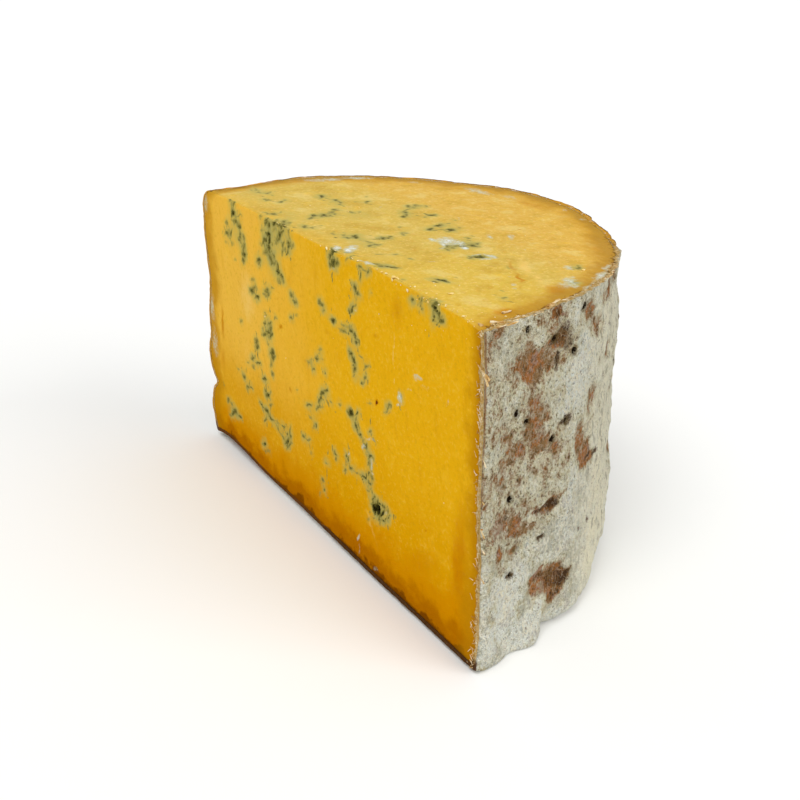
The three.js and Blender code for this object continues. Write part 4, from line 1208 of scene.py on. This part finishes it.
def mould_rind():
    """The dry crust of a ripened cheese: brown and pinkish crust under a patchy felt of grey-white
    mould, powdery and matt, with pores and needle holes."""
    material, tree = new_material("mould_rind")
    place = add(tree, "TexCoord", output="Object")
    names = ("bare", "dark", "white", "to_hole", "height", "round", "cut", "clean", "foot", "corner")
    bare, dark, white, to_hole, height, round_angle, cut, clean, foot, corner = (
        add(tree, "Attribute", output="Fac", attribute_name=name) for name in names
    )
    hung = add(tree, "Mapping", {"Vector": place, "Scale": [1, 1, 0.8]})
    broad, tint, speck, fine = (
        add(tree, "TexNoise", {
            "Vector": place, "Scale": per_metre(size), "Detail": detail, "Roughness": 0.65,
        })
        for size, detail in ((17, 3), (7, 3), (1.1, 3), (0.55, 2))
    )
    clump, mottle, fibre, thread, strand = (
        add(tree, "TexNoise", {
            "Vector": hung, "Scale": per_metre(size), "Detail": detail, "Roughness": 0.62,
        })
        for size, detail in ((6, 4), (2.2, 4), (0.8, 4), (3.2, 1), (1.9, 1))
    )
    streaked = add(tree, "Mapping", {"Vector": place, "Scale": [1, 1, 0.3]})
    streak = add(tree, "TexNoise", {
        "Vector": streaked, "Scale": per_metre(1.8), "Detail": 3, "Roughness": 0.6,
    })
    shake = add(tree, "TexNoise", {"Vector": place, "Scale": per_metre(1.6), "Detail": 2}, "Color")
    shaken = add(
        tree, "VectorMath", {"Vector": shake, "Vector_001": [1.6 * MM] * 3, "Vector_002": hung},
        operation="MULTIPLY_ADD",
    )
    net = add(tree, "TexVoronoi", {"Vector": shaken, "Scale": per_metre(1.5)}, feature="DISTANCE_TO_EDGE")
    dots = add(tree, "TexVoronoi", {"Vector": shaken, "Scale": per_metre(2.2)})

    ridge, hair = (
        add(tree, "Math", {"Value": mixture(tree, (pattern, 1.0), (1.0, -0.5))}, operation="ABSOLUTE")
        for pattern in (thread, strand)
    )
    smooth_low, shown, right = (
        add(tree, "MapRange", {"Value": pattern, "From Min": start, "From Max": full})
        for pattern, start, full in ((height, 45, 15), (round_angle, 60, 42), (round_angle, 20, 32))
    )
    # smoother felt on the right side of the rind, and there also painted light: the felt made thicker and
    # whiter where the side light falls
    smooth_lit_right = mixture(tree, (right, shown))
    thick = mixture(
        tree, (bare, -1.15), (white, 0.35), (broad, 1.4), (clump, 1.6), (mottle, 1.8), (speck, 0.7),
        (fine, 0.3), (smooth_low, 0.1), (smooth_lit_right, 0.3), (1.0, -2.12),
    )
    spotted = [(smooth_low, -0.3), (smooth_lit_right, -0.3), (clump, 0.8), (1.0, 0.4)]
    crust = paint(tree, "A07C52", (
        (tint, 0.45, 0.54, "BC7A42", 1.0),
        (tint, 0.56, 0.64, "B89078", 1.0),
        (mottle, 0.47, 0.34, "5E4426", 0.65),
    ))
    pores = mixture(tree, (dots, 1.0), (clump, 1.2), (speck, 0.8))
    dark_cover = mixture(tree, (dark, 1.0), (mottle, 1.4), (speck, 1.4), (fine, 0.6), (1.0, -1.7))
    calm = mixture(tree, (clump, 3.0), (smooth_low, -0.35), (1.0, -0.8))
    hole = mixture(tree, (to_hole, 1.0), (fine, 0.8), (speck, 0.8), (1.0, -0.8))
    torn_line = mixture(tree, (corner, 1.0), (clump, 1.6), (speck, 1.0), (1.0, -1.3))
    colour = paint(tree, crust, (
        (speck, 0.55, 0.68, "B5A286", 0.7),
        (thick, 0.0, 0.16, "B29470", 1.0),
        (thick, 0.2, 0.45, "D8CCA4", 1.0),
        (thick, 0.45, 0.75, "E4E0C2", 1.0),
        (thick, 0.7, 1.0, "F4F6EA", 1.0),
        # dark specks and pores: partly crust showing between the mould, partly painted shade between its
        # tufts
        (speck, 0.46, 0.35, "6A5C38", spotted),
        (pores, 0.98, 0.84, "40321A", [(smooth_low, -0.3), (1.0, 0.85)]),
        (broad, 0.48, 0.36, "B0AC94", [(thick, 0.7)]),
        (tint, 0.46, 0.36, "C4C8BC", [(thick, 0.6)]),
        (tint, 0.54, 0.66, "C2B8AC", [(thick, 0.5)]),
        (ridge, 0.05, 0.012, "FFFAE4", [(thick, calm)]),
        (net, 0.16, 0.05, "F8F0D2", [(thick, [(calm, 0.6)])]),
        (speck, 0.54, 0.62, "FFFDEA", [(thick, 1.0)]),
        # painted light: the felt whitened on the right side of the rind
        (smooth_lit_right, 0.1, 1.0, "FFF8DA", [(thick, 0.6)]),
        # dark vertical streaks on the right: partly brownish fibres, partly painted shade between vertical
        # ridges
        (streak, 0.54, 0.66, "8C8062", [(smooth_lit_right, 0.55)]),
        (dark_cover, 0.2, 0.5, "74522C", 0.75),
        (dark_cover, 0.5, 0.8, "402A12", 0.85),
        (hair, 0.028, 0.008, "E2D2B8", 0.3),
        (hole, 2.2, 1.3, "8A7448", 0.5),
        # painted shade: near black deep in the needle holes
        (hole, 1.25, 0.95, "2A1A08", 1.0),
        (torn_line, 0.7, 0.95, "9A6426", 0.8),
        (cut, 0.1, 0.6, "EBC070", 1.0),
        (speck, 0.5, 0.6, "FFE9B8", [(cut, 0.9)]),
        (speck, 0.44, 0.36, "B47E2C", [(cut, 0.6)]),
        (clean, 0.1, 0.9, "C08C28", 1.0),
        (tint, 0.56, 0.64, "D2B89C", [(clean, 0.7)]),
        # dark brown foot of the cut strip: partly browning, partly painted shade
        (foot, 0.1, 1.0, "5A3004", 0.95),
    ))
    knobs = mixture(
        tree, (fine, 1.0), (speck, 1.5), (mottle, 2.4), (clump, 2.0), (fibre, 0.8), (ridge, -1.8)
    )
    relief = mixture(tree, (knobs, [(clean, -0.95), (smooth_low, -0.2), (1.0, 1.0)]))
    bump = add(tree, "Bump", {"Height": relief, "Strength": 1.0, "Distance": 1.6 * MM})
    shader = add(tree, "BsdfPrincipled", {
        "Base Color": colour, "Roughness": 0.95, "Specular IOR Level": 0.1, "Normal": bump,
    })
    add(tree, "OutputMaterial", {"Surface": shader})
    return material


def torn_rind():
    """Torn edges of the dry crust: cream and tan fibres, brown in places."""
    material, tree = new_material("torn_rind")
    place = add(tree, "TexCoord", output="Object")
    tint = add(tree, "TexNoise", {"Vector": place, "Scale": per_metre(3), "Detail": 3})
    fine = add(tree, "TexNoise", {"Vector": place, "Scale": per_metre(0.6), "Detail": 2})
    colour = paint(tree, "D2B27A", (
        (tint, 0.5, 0.6, "EBD9B4", 1.0),
        (tint, 0.48, 0.38, "AE7C34", 1.0),
        (fine, 0.44, 0.32, "7A4A1C", 0.6),
    ))
    shader = add(tree, "BsdfPrincipled", {
        "Base Color": colour, "Roughness": 0.9, "Specular IOR Level": 0.2,
    })
    add(tree, "OutputMaterial", {"Surface": shader})
    return material


def loose_crumbs():
    """Pale dry crumbs of curd that the knife left."""
    material, tree = new_material("loose_crumbs")
    place = add(tree, "TexCoord", output="Object")
    tint = add(tree, "TexNoise", {"Vector": place, "Scale": per_metre(2.5), "Detail": 3})
    colour = paint(tree, "EBCB74", ((tint, 0.45, 0.6, "F0DFA8", 1.0),))
    shader = add(tree, "BsdfPrincipled", {
        "Base Color": colour, "Roughness": 0.7, "Specular IOR Level": 0.3,
    })
    add(tree, "OutputMaterial", {"Surface": shader})
    return material


def studio_paper():
    """Matt white background paper."""
    material, tree = new_material("studio_paper")
    shader = add(tree, "BsdfPrincipled", {"Base Color": linear("F7F7F5"), "Roughness": 0.9})
    add(tree, "OutputMaterial", {"Surface": shader})
    return material


def make_floor():
    bpy.ops.mesh.primitive_circle_add(vertices=96, radius=FLOOR_RADIUS * MM, fill_type="NGON")
    floor = bpy.context.object
    floor.name = "floor"
    floor.data.materials.append(studio_paper())


def make_lights():
    """A white room, a broad soft light from high up in front and another from the right."""
    world = bpy.data.worlds.new("studio")
    world.use_nodes = True
    background = world.node_tree.nodes["Background"]
    background.inputs["Color"].default_value = (1, 1, 1, 1)
    background.inputs["Strength"].default_value = ROOM_LIGHT
    bpy.context.scene.world = world
    for name, strength, breadth, place in SOFT_BOXES:
        bpy.ops.object.light_add(type="SUN")
        soft_box = bpy.context.object
        soft_box.name = name
        soft_box.data.energy = strength
        soft_box.data.angle = math.radians(breadth)
        soft_box.rotation_euler = Vector(place).to_track_quat("Z", "Y").to_euler()


def make_camera():
    turn = (
        Matrix.Rotation(math.radians(CAMERA_HEADING), 4, "Z")
        @ Matrix.Rotation(math.radians(90 - CAMERA_DOWN), 4, "X")
        @ Matrix.Rotation(math.radians(CAMERA_ROLL), 4, "Z")
    )
    bpy.ops.object.camera_add(location=Vector(CAMERA_PLACE) * MM, rotation=turn.to_euler())
    camera = bpy.context.object
    camera.data.lens = FOCAL_LENGTH
    camera.data.sensor_width = SENSOR_WIDTH
    camera.data.dof.use_dof = False
    bpy.context.scene.camera = camera


make_camera()
make_paste(cheese_paste())
make_rind(mould_rind())
make_frays(torn_rind())
make_crumbs(loose_crumbs())
make_floor()
make_lights()
bpy.context.scene.view_settings.view_transform = "Standard"
